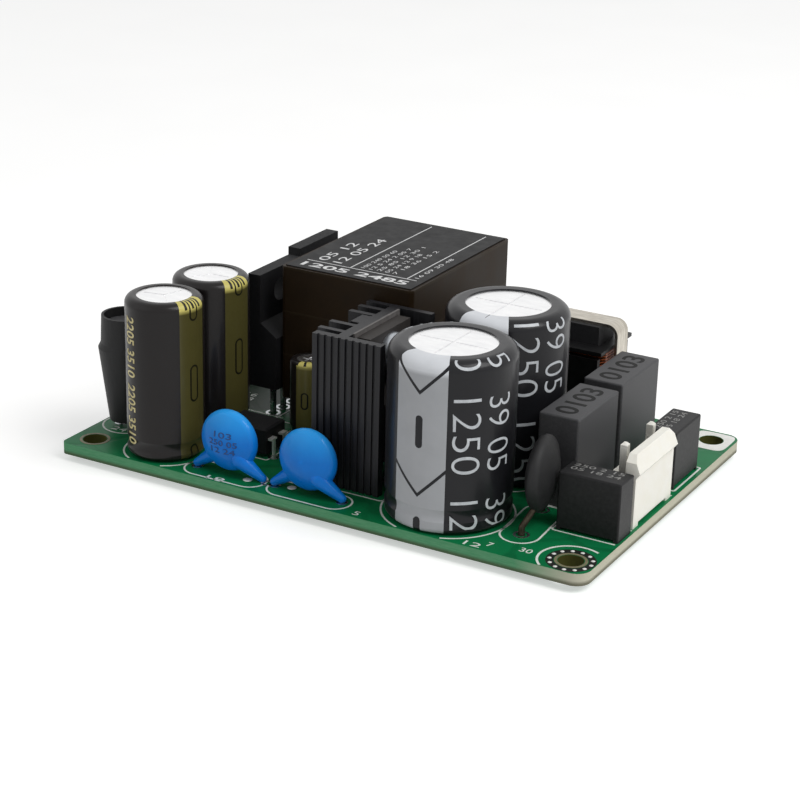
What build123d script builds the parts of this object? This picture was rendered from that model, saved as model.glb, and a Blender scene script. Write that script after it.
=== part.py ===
from build123d import *
import math
import os

# Open-frame switching power supply: one circuit board with its parts on the upper side.
# The origin is the middle of the board outline, level with the tips of the trimmed leads.
# +X points to the mains input edge, +Y to the far long edge and +Z up. Sizes are millimetres.

# Board
board_length = 76.2
board_width = 50.8
board_thick = 1.6
input_corner_radius = 2.0
output_corner_radius = 0.8
mount_hole_dia = 3.2
mount_inset = 3.175
lead_stub = 0.8
lead_hole_gap = 0.12
board_top = lead_stub + board_thick

# Large mains capacitors
bulk_dia = 16.0
bulk_height = 22.4
bulk_sleeve_wall = 0.2
bulk_rim_width = 2.5
bulk_shoulder = 1.3
bulk_groove_height = 2.6
bulk_seal_dia = 12.6
bulk_pitch = 7.5
bulk_wire_dia = 0.8
bulk_front_x = 15.7
bulk_front_y = -17.2
bulk_rear_x = 14.8
bulk_rear_y = -0.85

# Output capacitors
output_dia = 10.2
output_height = 21.6
output_sleeve_wall = 0.15
output_rim_width = 1.5
output_shoulder = 0.9
output_groove_height = 1.9
output_seal_dia = 8.2
output_pitch = 5.0
output_wire_dia = 0.6
output_front_x = -24.9
output_front_y = -20.0
output_rear_x = -24.8
output_rear_y = -9.5

# Small capacitor
small_dia = 5.0
small_height = 11.2
small_sleeve_wall = 0.12
small_rim_width = 0.9
small_shoulder = 0.4
small_groove_height = 1.2
small_seal_dia = 3.8
small_pitch = 2.0
small_wire_dia = 0.5
small_x = -11.6
small_y = -6.1

# Shared by all round capacitors
seal_stand = 0.4
seal_depth = 1.0
can_foot_radius = 0.5
groove_radius = 2.0
groove_depth = 0.2
vent_width = 0.25
vent_depth = 0.12
vent_edge = 0.8
cross_vent = (0, 90, 180, 270)
front_vent = (71, 191, 311)
rear_vent = (2, 122, 242)

# Film capacitors across the mains
film_thick = 5.5
film_length = 12.0
film_height = 12.2
film_edge_radius = 0.25
film_pitch = 10.0
film_wire_dia = 0.6
film_front_x = 26.4
film_front_y = -3.1
film_rear_x = 26.0
film_rear_y = 10.9

# Box fuses
fuse_thick = 4.0
fuse_length = 8.3
fuse_height = 7.7
fuse_edge_radius = 0.25
fuse_pitch = 5.08
fuse_wire_dia = 0.6
fuse_front_x = 33.6
fuse_front_y = -13.1
fuse_rear_x = 35.0
fuse_rear_y = 7.9

# Feet under the box-shaped parts
box_foot_height = 0.4
box_foot_length = 0.6

# Disc thermistor
thermistor_dia = 9.6
thermistor_thick = 3.6
thermistor_rim = 0.9
thermistor_lift = 2.0
thermistor_turn = 8.0
thermistor_pitch = 8.0
thermistor_splay = 1.1
thermistor_wire_dia = 0.8
thermistor_root = 5.0
thermistor_x = 27.2
thermistor_y = -14.7

# Pin headers with a latch wall
header_pitch = 3.96
header_end = 1.97
header_back = 4.1
header_front = 2.5
header_base_height = 3.4
header_wall_height = 9.6
header_wall_thick = 1.4
header_nose = 0.5
header_nose_height = 7.4
header_nose_step = 0.7
header_nose_lead = 0.4
header_corner = 0.9
header_foot_height = 0.5
header_foot_length = 1.6
pin_width = 0.9
pin_height = 10.4
pin_point = 0.3
input_header_x = 35.1
input_header_y = -4.36
output_header_x = -35.1
output_header_y = 10.0
output_pin_count = 4

# Line choke
choke_x = 13.6
choke_y = 19.0
choke_height = 15.3
strap_thick = 0.4
strap_width = 3.4
strap_radius = 1.6
strap_base = 1.6
choke_core_width = 12.8
choke_core_depth = 5.0
choke_leg = 2.6
choke_tube_wall = 0.5
choke_coil_thick = 1.1
choke_flange_thick = 0.5
choke_strap_gap = 0.4
choke_foot_reach = 1.1
choke_bobbin_depth = 10.0
choke_wall_thick = 0.8
choke_wall_drop = 0.6
choke_pin_dia = 0.8
choke_pin_edge = 1.3
choke_bobbin_width = choke_core_width + 2 * choke_foot_reach
choke_flange_width = choke_core_width + 2 * choke_tube_wall + 2 * choke_coil_thick
choke_width = choke_flange_width + 2 * choke_strap_gap + 2 * strap_thick

# Heat sink of the switching transistor
sink_height = 20.1
sink_spine_x = 0.4
sink_spine_thick = 1.5
sink_front_y = -18.7
sink_rear_y = -3.6
sink_front_left = 3.8
sink_front_right = 6.0
sink_front_thick = 1.2
sink_rear_reach = 4.6
sink_rear_thick = 0.9
sink_fin_reach = 3.6
sink_fin_thick = 0.8
sink_fin_places = (2.6, 5.3, 10.1, 12.5)
sink_boss_place = 7.9
sink_boss_width = 3.0
sink_boss_reach = 1.3
sink_groove_pitch = 1.0
sink_groove_width = 0.4
sink_groove_depth = 0.25
sink_pin_dia = 1.2
sink_pin_edge = 3.0

# Fully moulded power packages
package_width = 10.16
package_height = 15.9
package_thick = 4.5
package_tab_thick = 1.9
package_tab_height = 6.7
package_step_height = 1.8
package_hole_dia = 3.2
package_hole_drop = 3.2
package_lead_pitch = 2.54
package_lead_width = 0.8
package_lead_thick = 0.5
package_lead_back = 2.4
switch_pad_thick = 0.3
switch_pad_side = 0.6
switch_drop = 0.5
screw_dia = 2.9
screw_head_dia = 5.5
screw_head_height = 1.8
screw_slot_width = 0.7
screw_slot_depth = 0.8
rectifier_front_x = -22.6
rectifier_front_y = 1.2
rectifier_front_lift = 4.5
rectifier_rear_x = -23.2
rectifier_rear_y = 12.2
rectifier_rear_lift = 5.3

# Transformer
wrap_x = -8.0
wrap_y = 11.0
wrap_width = 20.0
wrap_length = 28.0
wrap_wall = 0.35
wrap_corner_radius = 0.7
wrap_lift = 3.4
transformer_height = 22.2
label_thick = 0.15
label_margin = 0.5
core_width = 7.0
core_length = 27.0
core_height = 19.4
core_leg = 3.6
core_centre_leg = 7.2
bobbin_wall = 0.9
bobbin_flange = 0.8
bobbin_side_gap = 0.3
coil_gap = 0.3
rail_length = 24.0
transformer_pin_dia = 0.8
transformer_pin_pitch = 5.0
transformer_pin_count = 4
transformer_pin_side = 8.0

# Blue disc capacitors
disc_dia = 8.2
disc_thick = 3.6
disc_rim = 1.0
disc_lift = 0.6
disc_pitch = 10.0
disc_wire_dia = 0.6
disc_leg_root_dia = 2.4
disc_leg_tip_dia = 1.1
disc_leg_stand = 0.5
disc_root_side = 1.9
disc_root_back = 0.5
disc_root_drop = 2.1
disc_left_x = -13.4
disc_right_x = -1.6
disc_y = -22.3

# Four-pin opto-coupler
opto_length = 6.5
opto_width = 4.6
opto_height = 3.5
opto_lift = 0.6
opto_row = 7.62
opto_pin_pitch = 2.54
opto_pin_thick = 0.25
opto_pin_width = 0.5
opto_shoulder_width = 1.2
opto_pin_drop = 1.4
opto_edge = 0.25
opto_x = -15.4
opto_y = -13.4

# Output choke in a shrunk tube
rod_choke_x = -34.4
rod_choke_y = -15.6
rod_choke_height = 15.8
rod_choke_stand = 1.0
tube_foot_dia = 4.8
tube_shoulder_dia = 7.4
tube_neck_dia = 6.7
tube_mouth_dia = 6.4
tube_shoulder_height = 11.3
tube_neck_height = 12.0
tube_wall = 0.35
tube_gap = 0.15
drum_stem_dia = 3.0
drum_flange_thick = 1.4
drum_drop = 1.2
rod_choke_pitch = 2.4
rod_choke_wire_dia = 0.6


# Shapes and placing

def block(x_size, y_size, z_low, z_high, x=0, y=0):
    """Upright block between two heights, centred on x, y."""
    return Pos(x, y, (z_low + z_high) / 2) * Box(x_size, y_size, z_high - z_low)


def rod(dia, z_low, z_high, x=0, y=0):
    """Upright round rod between two heights."""
    return Pos(x, y, (z_low + z_high) / 2) * Cylinder(dia / 2, z_high - z_low)


def row(x, y, pitch, count, turn=0):
    """Places in a straight row through x, y, turned from +X."""
    steps = [(i - (count - 1) / 2) * pitch for i in range(count)]
    angle = math.radians(turn)
    return [(x + s * math.cos(angle), y + s * math.sin(angle)) for s in steps]


def rods(places, dia, z_high):
    """One round lead from the trimmed tip up to z_high at each place."""
    return Part() + [rod(dia, 0, z_high, x, y) for x, y in places]


def blades(places, x_size, y_size, z_high):
    """One flat lead from the trimmed tip up to z_high at each place."""
    return Part() + [block(x_size, y_size, 0, z_high, x, y) for x, y in places]


def bent_wire(points, dia, bend):
    """Round wire along straight runs with rounded corners."""
    path = FilletPolyline(*points, radius=bend)
    return sweep(Plane(origin=path @ 0, z_dir=path % 0) * Circle(dia / 2), path=path)


# Where the leads pass the board

bulk_front_feet = row(bulk_front_x, bulk_front_y, bulk_pitch, 2)
bulk_rear_feet = row(bulk_rear_x, bulk_rear_y, bulk_pitch, 2)
output_front_feet = row(output_front_x, output_front_y, output_pitch, 2)
output_rear_feet = row(output_rear_x, output_rear_y, output_pitch, 2)
small_feet = row(small_x, small_y, small_pitch, 2)
film_front_feet = row(film_front_x, film_front_y, film_pitch, 2, 90)
film_rear_feet = row(film_rear_x, film_rear_y, film_pitch, 2, 90)
fuse_front_feet = row(fuse_front_x, fuse_front_y, fuse_pitch, 2)
fuse_rear_feet = row(fuse_rear_x, fuse_rear_y, fuse_pitch, 2, 90)
thermistor_feet = row(thermistor_x - thermistor_splay * math.cos(math.radians(thermistor_turn)),
                      thermistor_y - thermistor_splay * math.sin(math.radians(thermistor_turn)),
                      thermistor_pitch, 2, 90 + thermistor_turn)
input_pins = [row(input_header_x, input_header_y, header_pitch, 3, 90)[i] for i in (0, 2)]
output_pins = row(output_header_x, output_header_y, header_pitch, output_pin_count, 90)
disc_left_feet = row(disc_left_x, disc_y, disc_pitch, 2)
disc_right_feet = row(disc_right_x, disc_y, disc_pitch, 2)
rod_choke_feet = row(rod_choke_x, rod_choke_y, rod_choke_pitch, 2)
opto_feet = [foot for side in (-1, 1)
             for foot in row(opto_x + side * opto_row / 2, opto_y, opto_pin_pitch, 2, 90)]
choke_feet = [(choke_x + i * (choke_bobbin_width / 2 - choke_pin_edge),
               choke_y + j * (choke_bobbin_depth / 2 - choke_pin_edge)) for i in (-1, 1) for j in (-1, 1)]
transformer_feet = [foot for side in (-1, 1)
                    for foot in row(wrap_x + side * transformer_pin_side, wrap_y,
                                    transformer_pin_pitch, transformer_pin_count, 90)]
sink_feet = [(sink_spine_x, sink_front_y + sink_pin_edge), (sink_spine_x, sink_rear_y - sink_pin_edge)]
switch_back_x = sink_spine_x + sink_spine_thick / 2 + switch_pad_thick
switch_y = sink_front_y + sink_boss_place
switch_feet = row(switch_back_x + package_lead_back, switch_y, package_lead_pitch, 3, 90)
rectifier_front_feet = row(rectifier_front_x + package_lead_back, rectifier_front_y,
                           package_lead_pitch, 3, 90)
rectifier_rear_feet = row(rectifier_rear_x + package_lead_back, rectifier_rear_y,
                          package_lead_pitch, 3, 90)
blade_dia = math.hypot(package_lead_width, package_lead_thick)


def board():
    """Board with rounded corners, four screw holes and one hole for each lead."""
    half_x = board_length / 2
    half_y = board_width / 2
    outline = Rectangle(board_length, board_width)
    input_corners = outline.vertices().filter_by_position(Axis.X, half_x - 0.1, half_x + 0.1)
    outline = fillet(input_corners, input_corner_radius)
    output_corners = outline.vertices().filter_by_position(Axis.X, -half_x - 0.1, -half_x + 0.1)
    outline = fillet(output_corners, output_corner_radius)
    holes = [((i * (half_x - mount_inset), j * (half_y - mount_inset)), mount_hole_dia)
             for i in (-1, 1) for j in (-1, 1)]
    lead_rows = [
        (bulk_front_feet + bulk_rear_feet, bulk_wire_dia),
        (output_front_feet + output_rear_feet, output_wire_dia),
        (small_feet, small_wire_dia),
        (film_front_feet + film_rear_feet, film_wire_dia),
        (fuse_front_feet + fuse_rear_feet, fuse_wire_dia),
        (thermistor_feet, thermistor_wire_dia),
        (input_pins + output_pins, pin_width * math.sqrt(2)),
        (disc_left_feet + disc_right_feet, disc_wire_dia),
        (rod_choke_feet, rod_choke_wire_dia),
        (opto_feet, math.hypot(opto_pin_thick, opto_pin_width)),
        (choke_feet, choke_pin_dia),
        (transformer_feet, transformer_pin_dia),
        (sink_feet, sink_pin_dia),
        (switch_feet + rectifier_front_feet + rectifier_rear_feet, blade_dia),
    ]
    holes += [(place, dia + 2 * lead_hole_gap) for places, dia in lead_rows for place in places]
    outline -= [Pos(x, y) * Circle(dia / 2) for (x, y), dia in holes]
    return Pos(0, 0, lead_stub) * extrude(outline, board_thick)


def lens(dia, thick, rim):
    """Dipped disc across the X axis. Its crowned faces run smoothly into a round rim of radius rim."""
    reach = dia / 2 - rim
    angle = 2 * math.atan((thick / 2 - rim) / reach)
    crown = rim + reach / math.sin(angle)
    middle_x = thick / 2 - crown + crown * math.cos(angle / 2)
    middle_y = crown * math.sin(angle / 2)
    join_x = rim * math.cos(angle)
    join_y = reach + rim * math.sin(angle)
    outline = [
        ThreePointArc((thick / 2, 0), (middle_x, middle_y), (join_x, join_y)),
        ThreePointArc((join_x, join_y), (0, dia / 2), (-join_x, join_y)),
        ThreePointArc((-join_x, join_y), (-middle_x, middle_y), (-thick / 2, 0)),
        Line((-thick / 2, 0), (thick / 2, 0)),
    ]
    return revolve(make_face(outline), Axis.X)


# Round capacitors

def can_form(dia, z_low, z_high, shoulder, foot_radius, groove_z, groove_in, groove_round):
    """Round can with a soft shoulder, a soft foot and a rolled groove near the foot."""
    form = rod(dia, z_low, z_high)
    form = fillet(form.edges().group_by(Axis.Z)[-1], shoulder)
    form = fillet(form.edges().group_by(Axis.Z)[0], foot_radius)
    ring_radius = dia / 2 - groove_in + groove_round
    return form - Pos(0, 0, groove_z) * Torus(ring_radius, groove_round)


def capacitor(x, y, dia, height, wall, rim_width, shoulder, groove_height, seal_dia, vent):
    """Can, printed sleeve rolled over both rims, and the rubber seal that stands on the board."""
    z_low = board_top + seal_stand
    z_high = board_top + height - wall
    groove_z = board_top + groove_height
    can_dia = dia - 2 * wall
    can = can_form(can_dia, z_low, z_high, shoulder, can_foot_radius, groove_z, groove_depth, groove_radius)
    skin = can_form(dia, z_low - wall, z_high + wall, shoulder + wall, can_foot_radius + wall,
                    groove_z, groove_depth, groove_radius - wall)
    sleeve = skin - can
    sleeve -= rod(dia - 2 * rim_width, z_high - vent_depth, z_high + 2 * wall)
    sleeve -= rod(seal_dia, z_low - 2 * wall, z_low + wall)
    seal = rod(seal_dia, board_top, z_low + seal_depth)
    can -= rod(seal_dia, z_low, z_low + seal_depth)
    arm = dia / 2 - rim_width - vent_edge
    for turn in vent:
        can -= Rot(0, 0, turn) * block(arm, vent_width, z_high - vent_depth, z_high + wall, arm / 2)
    return [Pos(x, y) * piece for piece in (can, sleeve, seal)]


def bulk_capacitor(x, y):
    return capacitor(x, y, bulk_dia, bulk_height, bulk_sleeve_wall, bulk_rim_width,
                     bulk_shoulder, bulk_groove_height, bulk_seal_dia, cross_vent)


def output_capacitor(x, y, vent):
    return capacitor(x, y, output_dia, output_height, output_sleeve_wall, output_rim_width,
                     output_shoulder, output_groove_height, output_seal_dia, vent)


def small_capacitor(x, y):
    return capacitor(x, y, small_dia, small_height, small_sleeve_wall, small_rim_width,
                     small_shoulder, small_groove_height, small_seal_dia, cross_vent)


# Box-shaped and disc-shaped mains parts

def boxed_part(x, y, thick, length, height, edge_radius, turn):
    """Moulded box on two low feet, its length along Y when turn is 90."""
    box = block(length, thick, board_top, board_top + height)
    soft = box.edges().filter_by(Axis.Z) + box.edges().group_by(Axis.Z)[-1]
    box = fillet(soft, edge_radius)
    box -= block(length - 2 * box_foot_length, 2 * thick, 0, board_top + box_foot_height)
    return Pos(x, y) * Rot(0, 0, turn) * box


def thermistor():
    """Upright dipped disc and its two wires, turned a little on the board."""
    radius = thermistor_dia / 2
    centre_z = board_top + thermistor_lift + radius
    disc = Pos(0, 0, centre_z) * lens(thermistor_dia, thermistor_thick, thermistor_rim)
    wires = Part()
    for side in (-1, 1):
        foot_y = side * thermistor_pitch / 2
        root_y = side * thermistor_root / 2
        points = [(0, root_y, centre_z), (0, root_y, board_top + thermistor_lift + 1.5 * thermistor_wire_dia),
                  (-thermistor_splay, foot_y, board_top + thermistor_lift / 2), (-thermistor_splay, foot_y, 0)]
        wires += bent_wire(points, thermistor_wire_dia, thermistor_wire_dia / 2)
    wires -= disc
    place = Pos(thermistor_x, thermistor_y) * Rot(0, 0, thermistor_turn)
    return place * disc, place * wires


def disc_capacitor(x):
    """Dipped disc with coated legs spread to the board, and the two bare wires below them."""
    radius = disc_dia / 2
    centre_z = board_top + disc_lift + radius
    disc = Pos(0, 0, centre_z) * Rot(0, 0, 90) * lens(disc_dia, disc_thick, disc_rim)
    leg_tip = board_top + disc_leg_stand
    for side in (-1, 1):
        root = Vector(side * disc_root_side, -side * disc_root_back, centre_z - disc_root_drop)
        tip = Vector(side * disc_pitch / 2, 0, leg_tip)
        run = tip - root
        leg = Plane(origin=root, z_dir=run) * Pos(0, 0, run.length / 2)
        disc += leg * Cone(disc_leg_root_dia / 2, disc_leg_tip_dia / 2, run.length)
        disc += Pos(root) * Sphere(disc_leg_root_dia / 2)
        disc += Pos(tip) * Sphere(disc_leg_tip_dia / 2)
    wires = rods(row(0, 0, disc_pitch, 2), disc_wire_dia, leg_tip) - disc
    return Pos(x, disc_y) * disc, Pos(x, disc_y) * wires


# Pin headers

def header(pins, pin_count):
    """Header housing about its pin row, its latch wall on the +X side."""
    length = (pin_count - 1) * header_pitch + 2 * header_end
    base_top = board_top + header_base_height
    wall_top = board_top + header_wall_height
    nose_z = board_top + header_nose_height
    profile = Polyline(
        (-header_back, board_top), (-header_back, base_top),
        (header_front - header_wall_thick, base_top), (header_front - header_wall_thick, wall_top),
        (header_front - header_nose_lead, wall_top), (header_front + header_nose, nose_z),
        (header_front, nose_z - header_nose_step), (header_front, board_top), close=True)
    housing = extrude(Plane.XZ * make_face(profile), length / 2, both=True)
    for side in (-1, 1):
        corner = Pos(0, side * length / 2, wall_top) * Rot(45, 0, 0)
        housing -= corner * Box(4 * header_front, header_corner * math.sqrt(2), header_corner * math.sqrt(2))
    housing -= block(4 * header_back, length - 2 * header_foot_length, 0, board_top + header_foot_height)
    for x, y in pins:
        housing -= block(pin_width, pin_width, 0, base_top + header_nose, x, y)
    return housing


def header_pins(places):
    """Square pins with a pointed end."""
    pins = Part()
    for x, y in places:
        pin = block(pin_width, pin_width, 0, board_top + pin_height, x, y)
        pins += chamfer(pin.edges().group_by(Axis.Z)[-1], pin_point)
    return pins


# Line choke

def choke():
    """Line choke: closed core, two coils, bobbin, steel strap round them, and its pins."""
    base_top = board_top + strap_base
    top = board_top + choke_height
    core_low = base_top + strap_thick
    core_high = top - strap_thick
    coil_low = core_low + choke_leg + choke_flange_thick
    coil_high = core_high - choke_leg - choke_flange_thick
    leg_x = choke_core_width / 2 - choke_leg / 2
    tube_x = choke_leg + 2 * choke_tube_wall
    tube_y = choke_core_depth + 2 * choke_tube_wall
    coil_x = tube_x + 2 * choke_coil_thick
    coil_y = tube_y + 2 * choke_coil_thick

    middle_z = (base_top + top) / 2
    outer = RectangleRounded(choke_width, top - base_top, strap_radius)
    inner = RectangleRounded(choke_width - 2 * strap_thick, top - base_top - 2 * strap_thick,
                             strap_radius - strap_thick)
    strap = Pos(0, 0, middle_z) * extrude(Plane.XZ * (outer - inner), strap_width / 2, both=True)

    core = block(choke_core_width, choke_core_depth, core_low, core_high)
    core -= block(choke_core_width - 2 * choke_leg, 2 * choke_core_depth, core_low + choke_leg,
                  core_high - choke_leg)

    bobbin = block(choke_bobbin_width, choke_bobbin_depth, board_top, base_top)
    bobbin += block(choke_flange_width, choke_bobbin_depth, coil_low - choke_flange_thick, coil_low)
    bobbin += block(choke_flange_width, choke_bobbin_depth, coil_high, coil_high + choke_flange_thick)
    coils = Part()
    for side in (-1, 1):
        bobbin += block(tube_x, tube_y, coil_low, coil_high, side * leg_x)
        coils += block(coil_x, coil_y, coil_low, coil_high, side * leg_x)
        coils -= block(tube_x, tube_y, coil_low, coil_high, side * leg_x)
        wall_y = side * (choke_bobbin_depth / 2 - choke_wall_thick / 2)
        bobbin += block(choke_bobbin_width, choke_wall_thick, board_top, coil_high - choke_wall_drop,
                        0, wall_y)
    for side in (-1, 1):
        bobbin -= block(choke_leg, choke_core_depth, core_low, core_high, side * leg_x)
    coils = fillet(coils.edges().filter_by(Axis.Z).filter_by(
        lambda edge: abs(abs(edge.center().Y) - coil_y / 2) < 0.01), choke_coil_thick)
    pins = rods(choke_feet, choke_pin_dia, board_top)
    place = Pos(choke_x, choke_y)
    return place * core, place * coils, place * bobbin, place * strap, pins


# Heat sink and power packages

def heat_sink():
    """Extruded sink: grooved front plate, spine, side fins, screw boss and rear plate."""
    spine_left = sink_spine_x - sink_spine_thick / 2
    spine_right = sink_spine_x + sink_spine_thick / 2
    depth = sink_rear_y - sink_front_y
    section = Pos(sink_spine_x, sink_front_y + depth / 2) * Rectangle(sink_spine_thick, depth)
    front_width = sink_front_left + sink_front_right
    front_x = sink_spine_x + (sink_front_right - sink_front_left) / 2
    section += Pos(front_x, sink_front_y + sink_front_thick / 2) * Rectangle(front_width, sink_front_thick)
    section += Pos(spine_right + sink_rear_reach / 2, sink_rear_y - sink_rear_thick / 2) * Rectangle(
        sink_rear_reach, sink_rear_thick)
    fin_lines = [sink_front_y + place for place in sink_fin_places] + [sink_rear_y - sink_fin_thick / 2]
    for fin_y in fin_lines:
        section += Pos(spine_left - sink_fin_reach / 2, fin_y) * Rectangle(sink_fin_reach, sink_fin_thick)
    section += Pos(spine_left - sink_boss_reach / 2, switch_y) * Rectangle(sink_boss_reach, sink_boss_width)
    groove_count = int(front_width / sink_groove_pitch)
    for x, y in row(front_x, sink_front_y, sink_groove_pitch, groove_count):
        section -= Pos(x, y) * Rectangle(sink_groove_width, 2 * sink_groove_depth)
    sink = Pos(0, 0, board_top) * extrude(section, sink_height)
    return sink - switch_hole(screw_dia)


def switch_hole(dia):
    """Round cutter along X through the transistor's screw place."""
    length = 8 * package_thick
    return Pos(sink_spine_x, switch_y, switch_top - package_hole_drop) * Rot(0, 90, 0) * Cylinder(
        dia / 2, length)


def package(back_x, y, top):
    """Moulded package with its flat back at back_x and a thinner tab above its body."""
    low = top - package_height
    step_low = top - package_tab_height
    profile = Polyline(
        (0, low), (package_thick, low), (package_thick, step_low - package_step_height),
        (package_tab_thick, step_low), (package_tab_thick, top), (0, top), close=True)
    body = extrude(Plane.XZ * make_face(profile), package_width / 2, both=True)
    hole = Pos(0, 0, top - package_hole_drop) * Rot(0, 90, 0) * Cylinder(
        package_hole_dia / 2, 4 * package_thick)
    return Pos(back_x, y) * (body - hole)


def switch_pad():
    """Insulating sheet between the transistor and the sink."""
    high = switch_top + switch_pad_side
    low = switch_top - package_height - switch_pad_side
    width = package_width + 2 * switch_pad_side
    x = sink_spine_x + sink_spine_thick / 2 + switch_pad_thick / 2
    return block(switch_pad_thick, width, low, high, x, switch_y) - switch_hole(package_hole_dia)


def switch_screw():
    """Slotted screw whose head sits on the package tab and whose end fills the sink's boss."""
    head_low = switch_back_x + package_tab_thick
    tip = sink_spine_x - sink_spine_thick / 2 - sink_boss_reach
    z = switch_top - package_hole_drop
    shank = Pos((head_low + tip) / 2, 0, 0) * Rot(0, 90, 0) * Cylinder(screw_dia / 2, head_low - tip)
    head = Pos(head_low + screw_head_height / 2, 0, 0) * Rot(0, 90, 0) * Cylinder(
        screw_head_dia / 2, screw_head_height)
    head = chamfer(head.edges().group_by(Axis.X)[-1], screw_head_height / 4)
    slot_x = head_low + screw_head_height - screw_slot_depth / 2
    head -= Pos(slot_x, 0, 0) * Box(screw_slot_depth, 2 * screw_head_dia, screw_slot_width)
    return Pos(0, switch_y, z) * (head + shank)


switch_top = board_top + sink_height - switch_drop
rectifier_front_top = board_top + rectifier_front_lift + package_height
rectifier_rear_top = board_top + rectifier_rear_lift + package_height


# Transformer

def transformer():
    """Transformer: core, winding, bobbin with pin rails, outer wrap, label plate and pins."""
    label_top = board_top + transformer_height
    wrap_top = label_top - label_thick
    core_top = wrap_top - wrap_wall
    core_low = core_top - core_height
    window_low = core_low + core_leg
    window_high = core_top - core_leg
    window_y = core_length / 2 - core_leg
    inner_x = wrap_width - 2 * wrap_wall
    inner_y = wrap_length - 2 * wrap_wall
    flange_x = inner_x - 2 * bobbin_side_gap
    flange_y = 2 * window_y - 2 * bobbin_side_gap
    tube_x = core_width + 2 * bobbin_wall
    tube_y = core_centre_leg + 2 * bobbin_wall
    coil_low = window_low + bobbin_flange
    coil_high = window_high - bobbin_flange

    core = block(core_width, core_length, core_low, core_top)
    for side in (-1, 1):
        window_middle = side * (window_y + core_centre_leg / 2) / 2
        window_wide = window_y - core_centre_leg / 2
        core -= block(2 * core_width, window_wide, window_low, window_high, 0, window_middle)

    bobbin = block(tube_x, tube_y, window_low, window_high)
    bobbin += block(flange_x, flange_y, window_low, coil_low)
    bobbin += block(flange_x, flange_y, coil_high, window_high)
    rail_x = (flange_x - core_width) / 2 - bobbin_side_gap
    for side in (-1, 1):
        middle = side * (flange_x - rail_x) / 2
        bobbin += block(rail_x, rail_length, board_top, window_low, middle)
    bobbin -= block(core_width, core_centre_leg, window_low, window_high)

    coil = extrude(RectangleRounded(flange_x - 2 * coil_gap, flange_y - 2 * coil_gap, bobbin_wall),
                   coil_high - coil_low)
    coil = Pos(0, 0, coil_low) * coil - block(tube_x, tube_y, coil_low, coil_high)

    wrap = Pos(0, 0, board_top + wrap_lift) * extrude(
        RectangleRounded(wrap_width, wrap_length, wrap_corner_radius), wrap_top - board_top - wrap_lift)
    wrap -= block(inner_x, inner_y, board_top, core_top)
    label = block(wrap_width - 2 * label_margin, wrap_length - 2 * label_margin, wrap_top, label_top)
    pins = rods(transformer_feet, transformer_pin_dia, board_top)
    place = Pos(wrap_x, wrap_y)
    return place * core, place * coil, place * bobbin, place * wrap, place * label, pins


# Opto-coupler

def opto_coupler():
    """Moulded body with softened edges."""
    low = board_top + opto_lift
    body = block(opto_length, opto_width, low, low + opto_height)
    body = chamfer(body.edges().group_by(Axis.Z)[-1], opto_edge)
    return Pos(opto_x, opto_y) * body


def opto_pins():
    """Flat pins that leave the body's ends and bend down through the board."""
    bend_z = board_top + opto_lift + opto_height - opto_pin_drop
    reach = (opto_row + opto_pin_thick - opto_length) / 2
    pins = blades(opto_feet, opto_pin_thick, opto_pin_width, bend_z)
    for x, y in opto_feet:
        side = 1 if x > opto_x else -1
        middle = opto_x + side * (opto_length + reach) / 2
        pins += block(reach, opto_shoulder_width, bend_z - opto_pin_thick, bend_z, middle, y)
    return pins


# Output choke

def rod_choke():
    """Drum core, its winding and the tapered tube shrunk over them."""
    foot_z = board_top + rod_choke_stand
    mouth_z = board_top + rod_choke_height
    drum_top = mouth_z - drum_drop
    levels = [(foot_z, tube_foot_dia / 2), (board_top + tube_shoulder_height, tube_shoulder_dia / 2),
              (board_top + tube_neck_height, tube_neck_dia / 2), (mouth_z, tube_mouth_dia / 2)]

    def inside(z):
        """Inner radius of the tube at height z."""
        for (low, low_radius), (high, high_radius) in zip(levels, levels[1:]):
            if z <= high:
                return low_radius + (z - low) / (high - low) * (high_radius - low_radius) - tube_wall

    outside_line = [(radius, z) for z, radius in levels]
    inside_line = [(inside(z), z) for z, radius in reversed(levels)]
    tube = revolve(Plane.XZ * make_face(Polyline(*outside_line, *inside_line, close=True)), Axis.Z)
    low_flange = foot_z + drum_flange_thick
    high_flange = drum_top - drum_flange_thick
    low_radius = inside(foot_z) - tube_gap
    high_radius = inside(drum_top) - tube_gap
    drum = rod(2 * low_radius, foot_z, low_flange)
    drum += rod(drum_stem_dia, low_flange, high_flange)
    drum += rod(2 * high_radius, high_flange, drum_top)
    coil_line = Polyline((drum_stem_dia / 2, low_flange), (low_radius, low_flange),
                         (high_radius, high_flange), (drum_stem_dia / 2, high_flange), close=True)
    coil = revolve(Plane.XZ * make_face(coil_line), Axis.Z)
    place = Pos(rod_choke_x, rod_choke_y)
    return place * drum, place * coil, place * tube


# All pieces

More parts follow.
